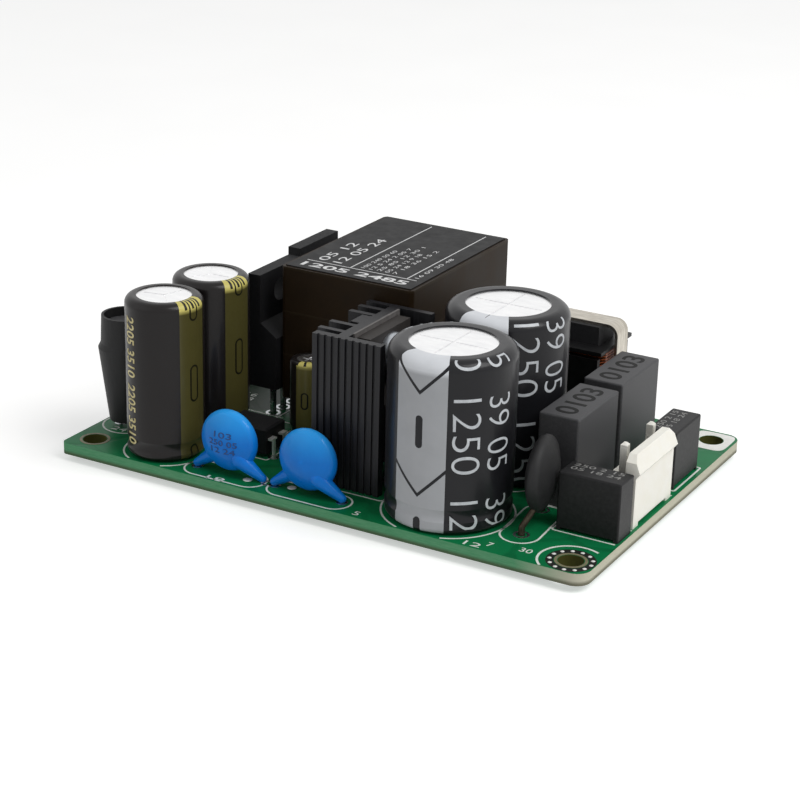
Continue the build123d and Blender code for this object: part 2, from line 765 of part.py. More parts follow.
def all_pieces():
    pieces = {"circuit_board": board()}
    for name, made in (
            ("bulk_capacitor_front", bulk_capacitor(bulk_front_x, bulk_front_y)),
            ("bulk_capacitor_rear", bulk_capacitor(bulk_rear_x, bulk_rear_y)),
            ("output_capacitor_front", output_capacitor(output_front_x, output_front_y, front_vent)),
            ("output_capacitor_rear", output_capacitor(output_rear_x, output_rear_y, rear_vent)),
            ("small_capacitor", small_capacitor(small_x, small_y))):
        for part_name, piece in zip(("can", "sleeve", "seal"), made):
            pieces[f"{name}_{part_name}"] = piece
    pieces["bulk_capacitor_leads"] = rods(bulk_front_feet + bulk_rear_feet, bulk_wire_dia, board_top)
    pieces["output_capacitor_leads"] = rods(output_front_feet + output_rear_feet, output_wire_dia, board_top)
    pieces["small_capacitor_leads"] = rods(small_feet, small_wire_dia, board_top)

    film = (film_thick, film_length, film_height, film_edge_radius, 90)
    pieces["film_capacitor_front"] = boxed_part(film_front_x, film_front_y, *film)
    pieces["film_capacitor_rear"] = boxed_part(film_rear_x, film_rear_y, *film)
    lead_top = board_top + box_foot_height
    pieces["film_capacitor_leads"] = rods(film_front_feet + film_rear_feet, film_wire_dia, lead_top)
    fuse = (fuse_thick, fuse_length, fuse_height, fuse_edge_radius)
    pieces["fuse_front"] = boxed_part(fuse_front_x, fuse_front_y, *fuse, 0)
    pieces["fuse_rear"] = boxed_part(fuse_rear_x, fuse_rear_y, *fuse, 90)
    pieces["fuse_leads"] = rods(fuse_front_feet + fuse_rear_feet, fuse_wire_dia, lead_top)
    pieces["thermistor_disc"], pieces["thermistor_leads"] = thermistor()
    left_disc, left_wires = disc_capacitor(disc_left_x)
    right_disc, right_wires = disc_capacitor(disc_right_x)
    pieces["disc_capacitor_left"] = left_disc
    pieces["disc_capacitor_right"] = right_disc
    pieces["disc_capacitor_leads"] = left_wires + right_wires

    input_places = [(0, y - input_header_y) for x, y in input_pins]
    output_places = [(0, output_header_y - y) for x, y in output_pins]
    pieces["input_header"] = Pos(input_header_x, input_header_y) * header(input_places, 3)
    pieces["input_header_pins"] = header_pins(input_pins)
    pieces["output_header"] = Pos(output_header_x, output_header_y) * Rot(0, 0, 180) * header(
        output_places, output_pin_count)
    pieces["output_header_pins"] = header_pins(output_pins)

    for name, piece in zip(("core", "coils", "bobbin", "strap", "pins"), choke()):
        pieces[f"line_choke_{name}"] = piece
    pieces["heat_sink"] = heat_sink()
    pieces["heat_sink_pins"] = rods(sink_feet, sink_pin_dia, board_top)
    pieces["switch_package"] = package(switch_back_x, switch_y, switch_top)
    pieces["switch_leads"] = blades(switch_feet, package_lead_thick, package_lead_width,
                                    switch_top - package_height)
    pieces["switch_pad"] = switch_pad()
    pieces["switch_screw"] = switch_screw()
    pieces["rectifier_front"] = package(rectifier_front_x, rectifier_front_y, rectifier_front_top)
    pieces["rectifier_rear"] = package(rectifier_rear_x, rectifier_rear_y, rectifier_rear_top)
    pieces["rectifier_leads"] = blades(
        rectifier_front_feet, package_lead_thick, package_lead_width, rectifier_front_top - package_height
    ) + blades(
        rectifier_rear_feet, package_lead_thick, package_lead_width, rectifier_rear_top - package_height)
    for name, piece in zip(("core", "coil", "bobbin", "wrap", "label", "pins"), transformer()):
        pieces[f"transformer_{name}"] = piece
    pieces["opto_coupler"] = opto_coupler()
    pieces["opto_coupler_pins"] = opto_pins()
    for name, piece in zip(("drum", "coil", "tube"), rod_choke()):
        pieces[f"output_choke_{name}"] = piece
    pieces["output_choke_leads"] = rods(rod_choke_feet, rod_choke_wire_dia, board_top + rod_choke_stand)
    return pieces


os.makedirs("parts", exist_ok=True)
for node, piece in all_pieces().items():
    export_step(piece, f"parts/{node}.step")
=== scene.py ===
import math

import bmesh
import bpy
import numpy as np
from bpy.props import FloatProperty, FloatVectorProperty, PointerProperty
from bpy.types import Operator, Panel, PropertyGroup
from mathutils import Matrix, Vector


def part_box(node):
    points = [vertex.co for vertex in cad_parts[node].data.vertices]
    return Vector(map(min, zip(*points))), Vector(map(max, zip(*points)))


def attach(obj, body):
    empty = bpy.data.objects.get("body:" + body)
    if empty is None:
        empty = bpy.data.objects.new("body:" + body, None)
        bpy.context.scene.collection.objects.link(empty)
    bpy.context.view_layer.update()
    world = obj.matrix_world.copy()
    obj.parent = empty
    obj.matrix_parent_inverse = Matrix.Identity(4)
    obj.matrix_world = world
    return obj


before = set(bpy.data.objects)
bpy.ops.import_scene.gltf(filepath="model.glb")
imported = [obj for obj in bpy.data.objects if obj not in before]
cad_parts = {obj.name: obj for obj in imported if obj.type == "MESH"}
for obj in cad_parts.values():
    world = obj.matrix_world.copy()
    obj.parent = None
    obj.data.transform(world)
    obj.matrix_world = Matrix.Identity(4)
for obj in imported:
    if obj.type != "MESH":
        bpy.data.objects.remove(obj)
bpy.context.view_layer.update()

bl_info = {
    "name": "Open-frame power supply",
    "version": (1, 0, 0),
    "blender": (4, 5, 0),
    "location": "3D View > Sidebar > Power supply",
    "description": "Finishes, printed marks, solder and studio of an open-frame power supply",
    "category": "Object",
}

MM = 0.001
ROOT = "root"

# Levels of the board, read from the frame, in millimetres
BOARD_LOW, BOARD_HIGH = (corner.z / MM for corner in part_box("circuit_board"))
BOARD_HALF = np.array(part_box("circuit_board")[1])[:2] / MM
HOLE = BOARD_HALF - 3.175


def linear(colour):
    """Linear colour of an sRGB hex value: each channel c is c/12.92, or ((c+0.055)/1.055)^2.4 above 0.04045."""
    channel = np.array([int(colour[i:i + 2], 16) for i in (1, 3, 5)]) / 255
    curve = np.where(channel <= 0.04045, channel / 12.92, ((channel + 0.055) / 1.055) ** 2.4)
    return (*curve.tolist(), 1.0)


def centre(node):
    """Middle of a CAD node's box, in millimetres."""
    low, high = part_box(node)
    return np.array((low + high) / 2) / MM


# Settings

class BoardSettings(PropertyGroup):
    mask: FloatVectorProperty(name="Solder mask", description="Green lacquer over the copper areas",
                              subtype="COLOR", size=4, default=linear("#0a683c"))
    gap: FloatVectorProperty(name="Mask over laminate", description="Green lacquer where the copper is etched away",
                             subtype="COLOR", size=4, default=linear("#07502d"))
    legend: FloatVectorProperty(name="Legend ink", description="White outlines printed on the board",
                                subtype="COLOR", size=4, default=linear("#f7f9f5"))
    line: FloatProperty(name="Legend line", description="Width of a printed outline",
                        subtype="DISTANCE", unit="LENGTH", default=0.25 * MM)
    ink: FloatProperty(name="Ink thickness", description="Height of printed ink and of bare pads over the board",
                       subtype="DISTANCE", unit="LENGTH", default=0.02 * MM)


class CapacitorSettings(PropertyGroup):
    bulk_sleeve: FloatVectorProperty(name="Large sleeve", description="Sleeve of the large capacitors",
                                     subtype="COLOR", size=4, default=linear("#1a1a1d"))
    bulk_stripe: FloatVectorProperty(name="Large stripe", description="Polarity stripe of the large capacitors",
                                     subtype="COLOR", size=4, default=linear("#eceff4"))
    output_sleeve: FloatVectorProperty(name="Output sleeve", description="Sleeve of the output capacitors",
                                       subtype="COLOR", size=4, default=linear("#1a1717"))
    output_stripe: FloatVectorProperty(name="Output stripe", description="Polarity stripe of the output capacitors",
                                       subtype="COLOR", size=4, default=linear("#e0d478"))
    print_height: FloatProperty(name="Print height", description="Height of the large capacitors' numbers",
                                subtype="DISTANCE", unit="LENGTH", default=3.5 * MM)
    print_pitch: FloatProperty(name="Print repeat", description="Height after which a sleeve's print repeats",
                               subtype="DISTANCE", unit="LENGTH", default=13.2 * MM)


class PartSettings(PropertyGroup):
    case: FloatVectorProperty(name="Film capacitors", description="Moulded cases of the film capacitors",
                              subtype="COLOR", size=4, default=linear("#424244"))
    fuse: FloatVectorProperty(name="Fuses", description="Moulded cases of the box fuses",
                              subtype="COLOR", size=4, default=linear("#161617"))
    disc: FloatVectorProperty(name="Disc capacitors", description="Dip coating of the two blue discs",
                              subtype="COLOR", size=4, default=linear("#0875d8"))
    nylon: FloatVectorProperty(name="Headers", description="Nylon of the two pin headers",
                               subtype="COLOR", size=4, default=linear("#fffdf4"))
    sink: FloatVectorProperty(name="Heat sink", description="Anodised skin of the heat sink",
                              subtype="COLOR", size=4, default=linear("#101012"))
    tape: FloatVectorProperty(name="Transformer tape", description="Outer wrap of the transformer",
                              subtype="COLOR", size=4, default=linear("#1b130a"))
    plate: FloatVectorProperty(name="Transformer plate", description="Plate on top of the transformer",
                               subtype="COLOR", size=4, default=linear("#141415"))


class StudioSettings(PropertyGroup):
    key: FloatProperty(name="Key lamp", description="Power of the soft lamp above the object",
                       unit="POWER", default=1.9)
    fill: FloatProperty(name="Fill lamp", description="Power of the soft lamp beside the camera",
                        unit="POWER", default=0.22)
    sky: FloatProperty(name="Room light", description="Level of the even light from all sides", default=0.34)
    distance: FloatProperty(name="Camera distance", description="From the lens to the point it looks at",
                            subtype="DISTANCE", unit="LENGTH", default=277.7 * MM)
    azimuth: FloatProperty(name="Camera azimuth", description="Turn of the camera round the object",
                           subtype="ANGLE", unit="ROTATION", default=math.radians(28.95))
    elevation: FloatProperty(name="Camera elevation", description="Angle of the camera above the floor",
                             subtype="ANGLE", unit="ROTATION", default=math.radians(21.31))
    roll: FloatProperty(name="Camera roll", description="Turn of the camera about its own axis",
                        subtype="ANGLE", unit="ROTATION", default=math.radians(1.45))
    lens: FloatProperty(name="Lens", description="Focal length in millimetres on a 36 mm sensor", default=96.38)


# Materials

def add(tree, kind, inputs=None, **settings):
    """Adds a node with its settings, and gives each named input a value or a link."""
    node = tree.nodes.new("ShaderNode" + kind)
    for name, value in settings.items():
        setattr(node, name, value)
    for key, value in (inputs or {}).items():
        if isinstance(value, bpy.types.Node):
            value = value.outputs[0]
        if isinstance(value, bpy.types.NodeSocket):
            tree.links.new(value, node.inputs[key])
        else:
            node.inputs[key].default_value = value
    return node


def begin(name, **sockets):
    """Material with one Principled shader, and the piece's own place in millimetres to lay patterns by."""
    material = bpy.data.materials.new(name)
    material.use_nodes = True
    tree = material.node_tree
    tree.nodes.clear()
    shader = add(tree, "BsdfPrincipled", {key.replace("_", " "): value for key, value in sockets.items()})
    add(tree, "OutputMaterial", {"Surface": shader})
    place = add(tree, "VectorMath", {0: add(tree, "TexCoord").outputs["Object"], "Scale": 1 / MM}, operation="SCALE")
    return material, tree, shader, place


def mottle(tree, shader, place, colour, other, grain, rough, depth, stretch=(1, 1, 1)):
    """Colour between two tones, roughness between two values and a bump, all from one noise.

    grain is the size of a patch and depth the height of the bump, both in millimetres."""
    mapped = add(tree, "Mapping", {"Vector": place, "Scale": stretch})
    noise = add(tree, "TexNoise", {"Vector": mapped, "Scale": 1 / grain, "Detail": 4.0, "Roughness": 0.6})
    tone = add(tree, "MapRange", {"Value": noise, "From Min": 0.3, "From Max": 0.7})
    mixed = add(tree, "Mix", {0: tone, 6: colour, 7: other}, data_type="RGBA").outputs[2]
    matt = add(tree, "MapRange", {"Value": noise, "From Min": 0.25, "From Max": 0.75,
                                  "To Min": rough[0], "To Max": rough[1]})
    bump = add(tree, "Bump", {"Height": noise, "Strength": 1.0, "Distance": depth * MM})
    tree.links.new(mixed, shader.inputs["Base Color"])
    tree.links.new(matt.outputs[0], shader.inputs["Roughness"])
    tree.links.new(bump.outputs[0], shader.inputs["Normal"])
    return mixed, bump


def plain_finish(name, colour, other, grain, rough, depth, stretch=(1, 1, 1), **sockets):
    """Material of one substance with the small unevenness that its making leaves."""
    material, tree, shader, place = begin(name, **sockets)
    mottle(tree, shader, place, colour, other, grain, rough, depth, stretch)
    return material


def dress(material, *nodes):
    """Gives CAD nodes their material."""
    for node in nodes:
        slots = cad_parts[node].data.materials
        slots.clear()
        slots.append(material)


# Meshes

def piece(name, points, faces, material, slot, smooth=False):
    """New piece from an array of points in millimetres and its faces, closed, facing outwards, at the origin."""
    mesh = bpy.data.meshes.new(name)
    mesh.from_pydata((np.asarray(points, float).reshape(-1, 3) * MM).tolist(), [], [list(face) for face in faces])
    work = bmesh.new()
    work.from_mesh(mesh)
    bmesh.ops.remove_doubles(work, verts=work.verts, dist=0.0005 * MM)
    bmesh.ops.recalc_face_normals(work, faces=work.faces)
    work.to_mesh(mesh)
    work.free()
    mesh.polygons.foreach_set("use_smooth", np.full(len(mesh.polygons), smooth))
    mesh.materials.append(material)
    made = bpy.data.objects.new(name, mesh)
    bpy.context.scene.collection.objects.link(made)
    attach(made, ROOT)
    return made


def join(parts):
    """One list of points and faces from several: each part's faces count on from the points before it."""
    points, faces, start = [], [], 0
    for part_points, part_faces in parts:
        flat = np.asarray(part_points, float).reshape(-1, 3)
        points.append(flat)
        faces.extend([[corner + start for corner in face] for face in part_faces])
        start += len(flat)
    return np.concatenate(points), faces


def grid_faces(rows, columns, rows_close):
    """Quads between the neighbours of a grid whose columns run round, and whose rows do too if they close."""
    across = np.arange(rows if rows_close else rows - 1)[:, None]
    round_ = np.arange(columns)[None, :]
    ahead, beside = (across + 1) % rows, (round_ + 1) % columns
    corners = (across * columns + round_, ahead * columns + round_, ahead * columns + beside, across * columns + beside)
    return np.stack(np.broadcast_arrays(*corners), -1).reshape(-1, 4).tolist()


def band(left, right, low, high, closed=True):
    """Flat band between two outlines of as many points, both at the low and at the high level. Open ends are
    capped."""
    count = len(left)
    corners = [np.column_stack([side, np.full(count, level)])
               for side, level in ((left, low), (left, high), (right, high), (right, low))]
    faces = grid_faces(count, 4, closed)
    if not closed:
        faces += [[0, 1, 2, 3], [4 * count - 1, 4 * count - 2, 4 * count - 3, 4 * count - 4]]
    return np.stack(corners, 1), faces


def strip(path, width, low, high, closed=True):
    """Flat strip along a plane path: each point p gives p + n w/2 and p - n w/2, n the path's unit normal and w
    the width."""
    ahead = np.roll(path, -1, 0) - np.roll(path, 1, 0)
    if not closed:
        ahead[0], ahead[-1] = path[1] - path[0], path[-1] - path[-2]
    normal = np.stack([-ahead[:, 1], ahead[:, 0]], 1) / np.linalg.norm(ahead, axis=1, keepdims=True)
    return band(path + normal * width / 2, path - normal * width / 2, low, high, closed)


def printed(path, width, low, high, step=0.25, inset=0.35):
    """Strips of a closed outline: it is divided every step, and what comes nearer than the inset to the board's edge
    is left off, so it falls into one open strip for each run that stays."""
    ends = np.roll(path, -1, 0)
    if (np.abs(path) < BOARD_HALF - inset).all():
        return [strip(path, width, low, high)]
    counts = np.maximum(1, np.ceil(np.linalg.norm(ends - path, axis=1) / step).astype(int))
    share = np.concatenate([np.arange(n) / n for n in counts])[:, None]
    dense = np.repeat(path, counts, 0) * (1 - share) + np.repeat(ends, counts, 0) * share
    inside = (np.abs(dense) < BOARD_HALF - inset).all(1)
    first = int(np.argmin(inside))
    dense, inside = np.roll(dense, -first, 0), np.roll(inside, -first)
    runs = np.split(dense, np.flatnonzero(np.diff(inside)) + 1)
    return [strip(run, width, low, high, closed=False) for run in runs[1::2] if len(run) > 2]


def lathe(profile, places, count=20):
    """Turned shape at each place: profile (r, z) gives x = x0 + r cos t, y = y0 + r sin t, z, with t round the
    circle. The profile starts and ends on the axis, so the shape is closed."""
    turn = np.linspace(0, 2 * math.pi, count, endpoint=False)
    radius, height = np.asarray(profile, float).T
    one = np.stack([radius[:, None] * np.cos(turn), radius[:, None] * np.sin(turn),
                    np.broadcast_to(height[:, None], (len(radius), count))], -1)
    parts = [(one + np.array([x, y, 0]), grid_faces(len(radius), count, False)) for x, y in places]
    return join(parts)


def arc(middle, radius, start=0.0, end=360.0, count=64):
    """Points of a circle or arc: middle + radius (cos t, sin t), t between two angles in degrees."""
    turn = np.radians(np.linspace(start, end, count, endpoint=abs(end - start) < 360))
    return np.asarray(middle)[:2] + radius * np.column_stack([np.cos(turn), np.sin(turn)])


def stadium(middle, half, radius, turn=0.0, count=24):
    """Points of a stadium: a half circle round each end of a straight run of length 2 half, turned in degrees."""
    angle = np.radians(np.linspace(-90, 90, count))
    cap = radius * np.column_stack([np.cos(angle), np.sin(angle)])
    ring = np.concatenate([cap + [half, 0], -cap - [half, 0]])
    c, s = math.cos(math.radians(turn)), math.sin(math.radians(turn))
    return np.asarray(middle)[:2] + ring @ np.array([[c, s], [-s, c]])


def rounded(middle, width, depth, radius, count=8):
    """Points of a rectangle with a quarter circle at each corner."""
    angle = np.radians(np.linspace(0, 90, count))
    quarter = radius * np.column_stack([np.cos(angle), np.sin(angle)])
    corners = []
    for k, (x, y) in enumerate(((1, 1), (-1, 1), (-1, -1), (1, -1))):
        c, s = math.cos(k * math.pi / 2), math.sin(k * math.pi / 2)
        corners.append(quarter @ np.array([[c, s], [-s, c]]) + [x * (width / 2 - radius), y * (depth / 2 - radius)])
    return np.asarray(middle)[:2] + np.concatenate(corners)


def slab(outline, low, high):
    """Flat plate: an outline at two levels, joined by its edge and closed by two faces."""
    count = len(outline)
    points = np.concatenate([np.column_stack([outline, np.full(count, z)]) for z in (low, high)])
    faces = grid_faces(2, count, False) + [list(range(count)), list(range(2 * count - 1, count - 1, -1))]
    return points, faces


def numbers(text, length, height, lift, carry, keep=None, step=0.35, weight=0.0):
    """Line of plain numbers as thin closed shapes: the letter outlines are filled and given a thickness, cut every
    step along both ways so that they can bend, kept inside a range of the line, and carried to their place by
    carry(along, up, out). length and height are the line's size in millimetres, and weight makes the strokes
    bolder or finer."""
    curve = bpy.data.curves.new("line", "FONT")
    curve.body = text
    curve.extrude = 0.5
    curve.offset = weight
    holder = bpy.data.objects.new("line", curve)
    work = bmesh.new()
    mesh = bpy.data.meshes.new_from_object(holder)
    work.from_mesh(mesh)
    bmesh.ops.remove_doubles(work, verts=work.verts, dist=0.0001)
    points = np.array([vertex.co for vertex in work.verts])
    low, high = points.min(0), points.max(0)
    size = high - low
    scale = Matrix.Diagonal((length / size[0], height / size[1], 2 * lift / size[2], 1))
    work.transform(scale @ Matrix.Translation((-low[0], -low[1] - size[1] / 2, -low[2] - size[2] / 2)))
    cuts = [((x, 0, 0), (1, 0, 0)) for x in np.arange(step, length, step)]
    cuts += [((0, y, 0), (0, 1, 0)) for y in np.arange(-height / 2 + step, height / 2, step)]
    for point, normal in cuts:
        bmesh.ops.bisect_plane(work, geom=work.verts[:] + work.edges[:] + work.faces[:],
                               plane_co=point, plane_no=normal)
    for place, outwards in zip(keep or (), (-1, 1)):
        bmesh.ops.bisect_plane(work, geom=work.verts[:] + work.edges[:] + work.faces[:],
                               plane_co=(place, 0, 0), plane_no=(outwards, 0, 0), clear_outer=True)
        bmesh.ops.holes_fill(work, edges=work.edges)
    points = np.array([vertex.co for vertex in work.verts])
    faces = [[vertex.index for vertex in face.verts] for face in work.faces]
    work.free()
    bpy.data.objects.remove(holder)
    bpy.data.meshes.remove(mesh)
    bpy.data.curves.remove(curve)
    return carry(*points.T), faces


def on_sleeve(middle, dia, top, shoulder, angle, start):
    """Carrier that wraps a line of numbers round a sleeve, read downwards from the level start.

    The way up the sleeve is s: its side up to the shoulder, then a quarter circle, then the flat rim inwards."""
    def carry(along, up, out):
        side_top = top - shoulder
        s = start - along - side_top
        q = np.clip(s / shoulder, 0, math.pi / 2)
        inwards = np.maximum(s - shoulder * math.pi / 2, 0)
        radius = dia / 2 - shoulder + (shoulder + out) * np.cos(q) - inwards
        height = side_top + np.minimum(s, 0) + (shoulder + out) * np.sin(q)
        turn = math.radians(angle) + up / (dia / 2)
        return np.column_stack([middle[0] + radius * np.cos(turn), middle[1] + radius * np.sin(turn), height])
    return carry


def on_plate(origin, along_way, up_way):
    """Carrier that lays a line of numbers flat on an upward face from its start point."""
    def carry(along, up, out):
        flat = np.outer(along, along_way) + np.outer(up, up_way)
        return np.column_stack([flat + np.asarray(origin)[:2], origin[2] + out])
    return carry


# Finishes that several pieces share

FINISH = {}


def shared_finishes():
    """Makes the finishes that more than one operator uses."""
    # Tin-plated wire, drawn and dipped: bright grey metal, a little wavy
    FINISH["tinned"] = plain_finish("tinned_wire", linear("#c9cacb"), linear("#a9abad"), 0.8, (0.22, 0.38), 0.01,
                                    Metallic=1.0)
    # Tin over square brass pins: nearly white, with a soft shine; the whiteness is partly pale tin and partly painted
    # highlight for the glints on the pins
    FINISH["pin"] = plain_finish("pin_tin_painted_highlight", linear("#f6f4ec"), linear("#e2e0d8"), 0.8, (0.25, 0.35), 0.004,
                                 Metallic=0.45)
    # Solder, melted and set: soft silver with a satin skin
    FINISH["solder"] = plain_finish("solder_set_bright", linear("#c4c6c8"), linear("#9fa3a6"), 0.5, (0.2, 0.4), 0.02,
                                    Metallic=1.0)
    # Screen-printed epoxy ink: matt and slightly uneven where it lies on the lacquer
    ink = bpy.context.scene.supply_board.legend
    FINISH["ink"] = plain_finish("legend_ink_printed", ink, linear("#dce3da"), 0.4, (0.5, 0.65), 0.004)
    # Drawn aluminium can: bright pale metal with fine turning lines
    FINISH["can"] = plain_finish("aluminium_can_drawn", linear("#fafafa"), linear("#eeeeef"), 2.5, (0.26, 0.34), 0.002,
                                 stretch=(1, 3, 1), Metallic=1.0)
    # Rubber seal: dull black
    FINISH["seal"] = plain_finish("rubber_seal_moulded", linear("#121212"), linear("#1c1c1c"), 0.6, (0.7, 0.85), 0.01,
                                  Specular_IOR_Level=0.3)
    # Epoxy moulding compound: dull near-black with fine grain
    FINISH["epoxy"] = plain_finish("epoxy_package_moulded", linear("#131314"), linear("#1d1d1f"), 0.25, (0.5, 0.7), 0.01,
                                   Specular_IOR_Level=0.18)
    # Phenolic bobbin: black with a soft shine
    FINISH["bobbin"] = plain_finish("phenolic_bobbin_moulded", linear("#0d0d0e"), linear("#161617"), 0.8, (0.35, 0.5), 0.01,
                                    Specular_IOR_Level=0.25)
    # Sintered ferrite: charcoal, matt and finely pitted
    FINISH["ferrite"] = plain_finish("ferrite_sintered", linear("#1a1a1c"), linear("#262628"), 0.3, (0.55, 0.75), 0.015,
                                     Specular_IOR_Level=0.3)


def wound_copper(name, pitch, upright):
    """Enamelled copper winding: rounded turns one wire apart, with painted highlight on their crowns and painted shade
    between them.
    """
    material, tree, shader, place = begin(name, Metallic=0.85, Coat_Weight=0.5)
    axis = add(tree, "SeparateXYZ", {0: place}).outputs["Z" if upright else "X"]
    turn = add(tree, "Math", {0: axis, 1: 2 * math.pi / pitch}, operation="MULTIPLY")
    crown = add(tree, "Math", {0: turn}, operation="SINE")
    # Painted light: the colour runs from dark in the grooves between turns to bright on the crowns
    share = add(tree, "MapRange", {"Value": crown, "From Min": -1.0, "From Max": 0.4})
    colour = add(tree, "Mix", {0: share, 6: linear("#2a0f06"), 7: linear("#b5612c")}, data_type="RGBA").outputs[2]
    patches = add(tree, "TexNoise", {"Vector": place, "Scale": 0.6, "Detail": 2.0})
    toned = add(tree, "Mix", {0: patches, 6: colour, 7: linear("#8a3f1c")}, data_type="RGBA", blend_type="MULTIPLY")
    bump = add(tree, "Bump", {"Height": share, "Strength": 1.0, "Distance": pitch / 3 * MM})
    tree.links.new(toned.outputs[2], shader.inputs["Base Color"])
    tree.links.new(bump.outputs[0], shader.inputs["Normal"])
    shader.inputs["Roughness"].default_value = 0.35
    return material


class SUPPLY_OT_board(Operator):
    """Solder mask, bare laminate edges, printed outlines, screw-hole pads and the small chip parts"""
    bl_idname = "supply.board"
    bl_label = "Circuit board"

    def execute(self, context):
        settings = context.scene.supply_board
        shared_finishes()
        dress(self.laminate(settings), "circuit_board")
        line, ink = settings.line / MM, settings.ink / MM
        low, high = BOARD_HIGH - ink, BOARD_HIGH + ink
        paths = [arc(centre(node), radius) for node, radius in (
            ("bulk_capacitor_front_can", 8.4), ("bulk_capacitor_rear_can", 8.7), ("output_capacitor_front_can", 5.6),
            ("output_capacitor_rear_can", 5.6), ("small_capacitor_can", 3.0), ("output_choke_tube", 3.35))]
        paths += [stadium((x, -22.65), 3.7, 2.25) for x in (-13.8, -1.2)]
        paths.append(stadium((26.3, -15.3), 3.6, 2.5, 94))
        paths.append(rounded((1.2, -11.2), 12.6, 16.4, 0.6))
        paths.append(rounded(centre("transformer_wrap"), 21.4, 29.0, 0.6))
        paths.append(rounded(centre("line_choke_strap"), 19.6, 12.0, 0.6))
        for node in ("film_capacitor_front", "film_capacitor_rear", "fuse_front", "fuse_rear", "input_header",
                     "output_header", "opto_coupler"):
            near, far = (np.array(corner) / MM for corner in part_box(node))
            size = far - near + 0.7
            paths.append(rounded((near + far) / 2, size[0], size[1], 0.3))
        outlines = [made for path in paths for made in printed(path, line, low, high)]
        outlines.append(strip(np.array([[-23.9, -2.3], [-17.9, -2.4]]), line, low, high, closed=False))
        front = HOLE * (1, -1)
        outlines.append(strip(arc(front, 4.05, 62, 228), 0.3, low, high, closed=False))
        piece("legend_outlines", *join(outlines), FINISH["ink"], "board")

        # Round solder dots, levelled in hot air: bright white points on the dark ground
        drop = plain_finish("solder_dot_levelled", linear("#f6f6f2"), linear("#e6e6e0"), 0.5, (0.3, 0.45), 0.004)
        dots = [lathe([(0, low), (0.27, low), (0.27, high), (0.16, high + 3 * ink), (0, high + 4 * ink)],
                      arc(front, 2.62, count=13), 14)]
        piece("earth_pad_dots", *join(dots), drop, "steel", smooth=True)
        # Flat black ink: makes the dots of the earth pad stand out
        dark = plain_finish("black_ink_printed", linear("#0c0e0b"), linear("#151812"), 0.5, (0.5, 0.65), 0.004,
                            Specular_IOR_Level=0.3)
        piece("earth_pad_ground", *join([strip(arc(front, 2.58), 0.95, low, high)]), dark, "board")
        # Bare copper under old flux: khaki and dull
        khaki = plain_finish("bare_copper_fluxed", linear("#8a8468"), linear("#6d684f"), 0.6, (0.45, 0.6), 0.006)
        rings = [strip(arc(HOLE * side, 1.85, count=48), 0.35, low, high + ink) for side in ((1, -1), (-1, -1), (-1, 1))]
        piece("screw_hole_rings", *join(rings), khaki, "board")
        # Bare tin-levelled pad: pale, flat and satin
        bare = plain_finish("bare_pad_levelled", linear("#fbfbf7"), linear("#eeeee8"), 0.9, (0.35, 0.5), 0.006)
        turn = np.linspace(0, 2 * math.pi, 96, endpoint=False)
        away = np.where(np.sin(turn) > 0, 2.8, 3.3)
        outer = (np.abs(np.cos(turn) / 2.75) ** 5 + np.abs(np.sin(turn) / away) ** 5) ** -0.2
        rim = HOLE + outer[:, None] * np.column_stack([np.cos(turn), np.sin(turn)])
        piece("corner_pad", *band(rim, arc(HOLE, 1.68, count=96), low, high), bare, "board")
        # Round levelled test pads between the disc capacitors' legs
        tests = lathe([(0, low), (0.62, low), (0.62, high), (0.4, high + 2 * ink), (0, high + 3 * ink)],
                      [(-4.3, -21.8), (-10.4, -22.7)], 16)
        piece("test_pads", *tests, bare, "steel", smooth=True)
        # Small plain numbers beside the parts, read from the near side
        marks = [numbers(text, length, 1.1, ink, on_plate((x, y, BOARD_HIGH), (1, 0), (0, 1)), step=9)
                 for text, x, y, length in (("12", 21.8, -24.4, 2.2), ("7", 24.4, -23.4, 0.7), ("30", 28.4, -22.6, 1.6),
                                            ("18", -15.4, -24.6, 2.6), ("5", 6.2, -24.2, 0.8), ("24", -35.4, -17.6, 2.2),
                                            ("3", -26.0, 1.2, 0.8), ("16", -27.2, 2.8, 1.7), ("9", 34.2, 12.6, 0.9))]
        piece("part_numbers", *join(marks), FINISH["ink"], "board")
        self.chips()
        return {"FINISHED"}

    @staticmethod
    def laminate(settings):
        """Solder mask over copper areas on the faces, and the sawn glass laminate at the edges."""
        # Liquid photo-imaged solder mask: glossy green lacquer, lighter and raised where copper lies under it
        material, tree, shader, place = begin("solder_mask_cured", Specular_IOR_Level=0.11)
        cells = add(tree, "TexVoronoi", {"Vector": place, "Scale": 0.11, "Randomness": 0.85},
                    feature="DISTANCE_TO_EDGE")
        copper = add(tree, "MapRange", {"Value": cells, "From Min": 0.035, "From Max": 0.06})
        green = add(tree, "Mix", {0: copper, 6: settings.gap, 7: settings.mask}, data_type="RGBA").outputs[2]
        cloud = add(tree, "TexNoise", {"Vector": place, "Scale": 0.25, "Detail": 3.0})
        toned = add(tree, "Mix", {0: cloud, 6: green, 7: linear("#10804b")}, data_type="RGBA").outputs[2]
        # Sawn glass laminate: pale, fibrous, a little green where light comes through the mask
        fibre = add(tree, "TexNoise", {"Vector": add(tree, "Mapping", {"Vector": place, "Scale": (0.6, 0.6, 8.0)}),
                                       "Scale": 1.2, "Detail": 5.0})
        sawn = add(tree, "Mix", {0: fibre, 6: linear("#3f8f5f"), 7: linear("#74ad86")}, data_type="RGBA").outputs[2]
        # Towards the input end more of the light laminate shows
        along = add(tree, "SeparateXYZ", {0: place})
        end = add(tree, "MapRange", {"Value": along.outputs["X"], "From Min": 29.0, "From Max": 36.5})
        edge = add(tree, "Mix", {0: end, 6: sawn, 7: linear("#cac8b4")}, data_type="RGBA").outputs[2]
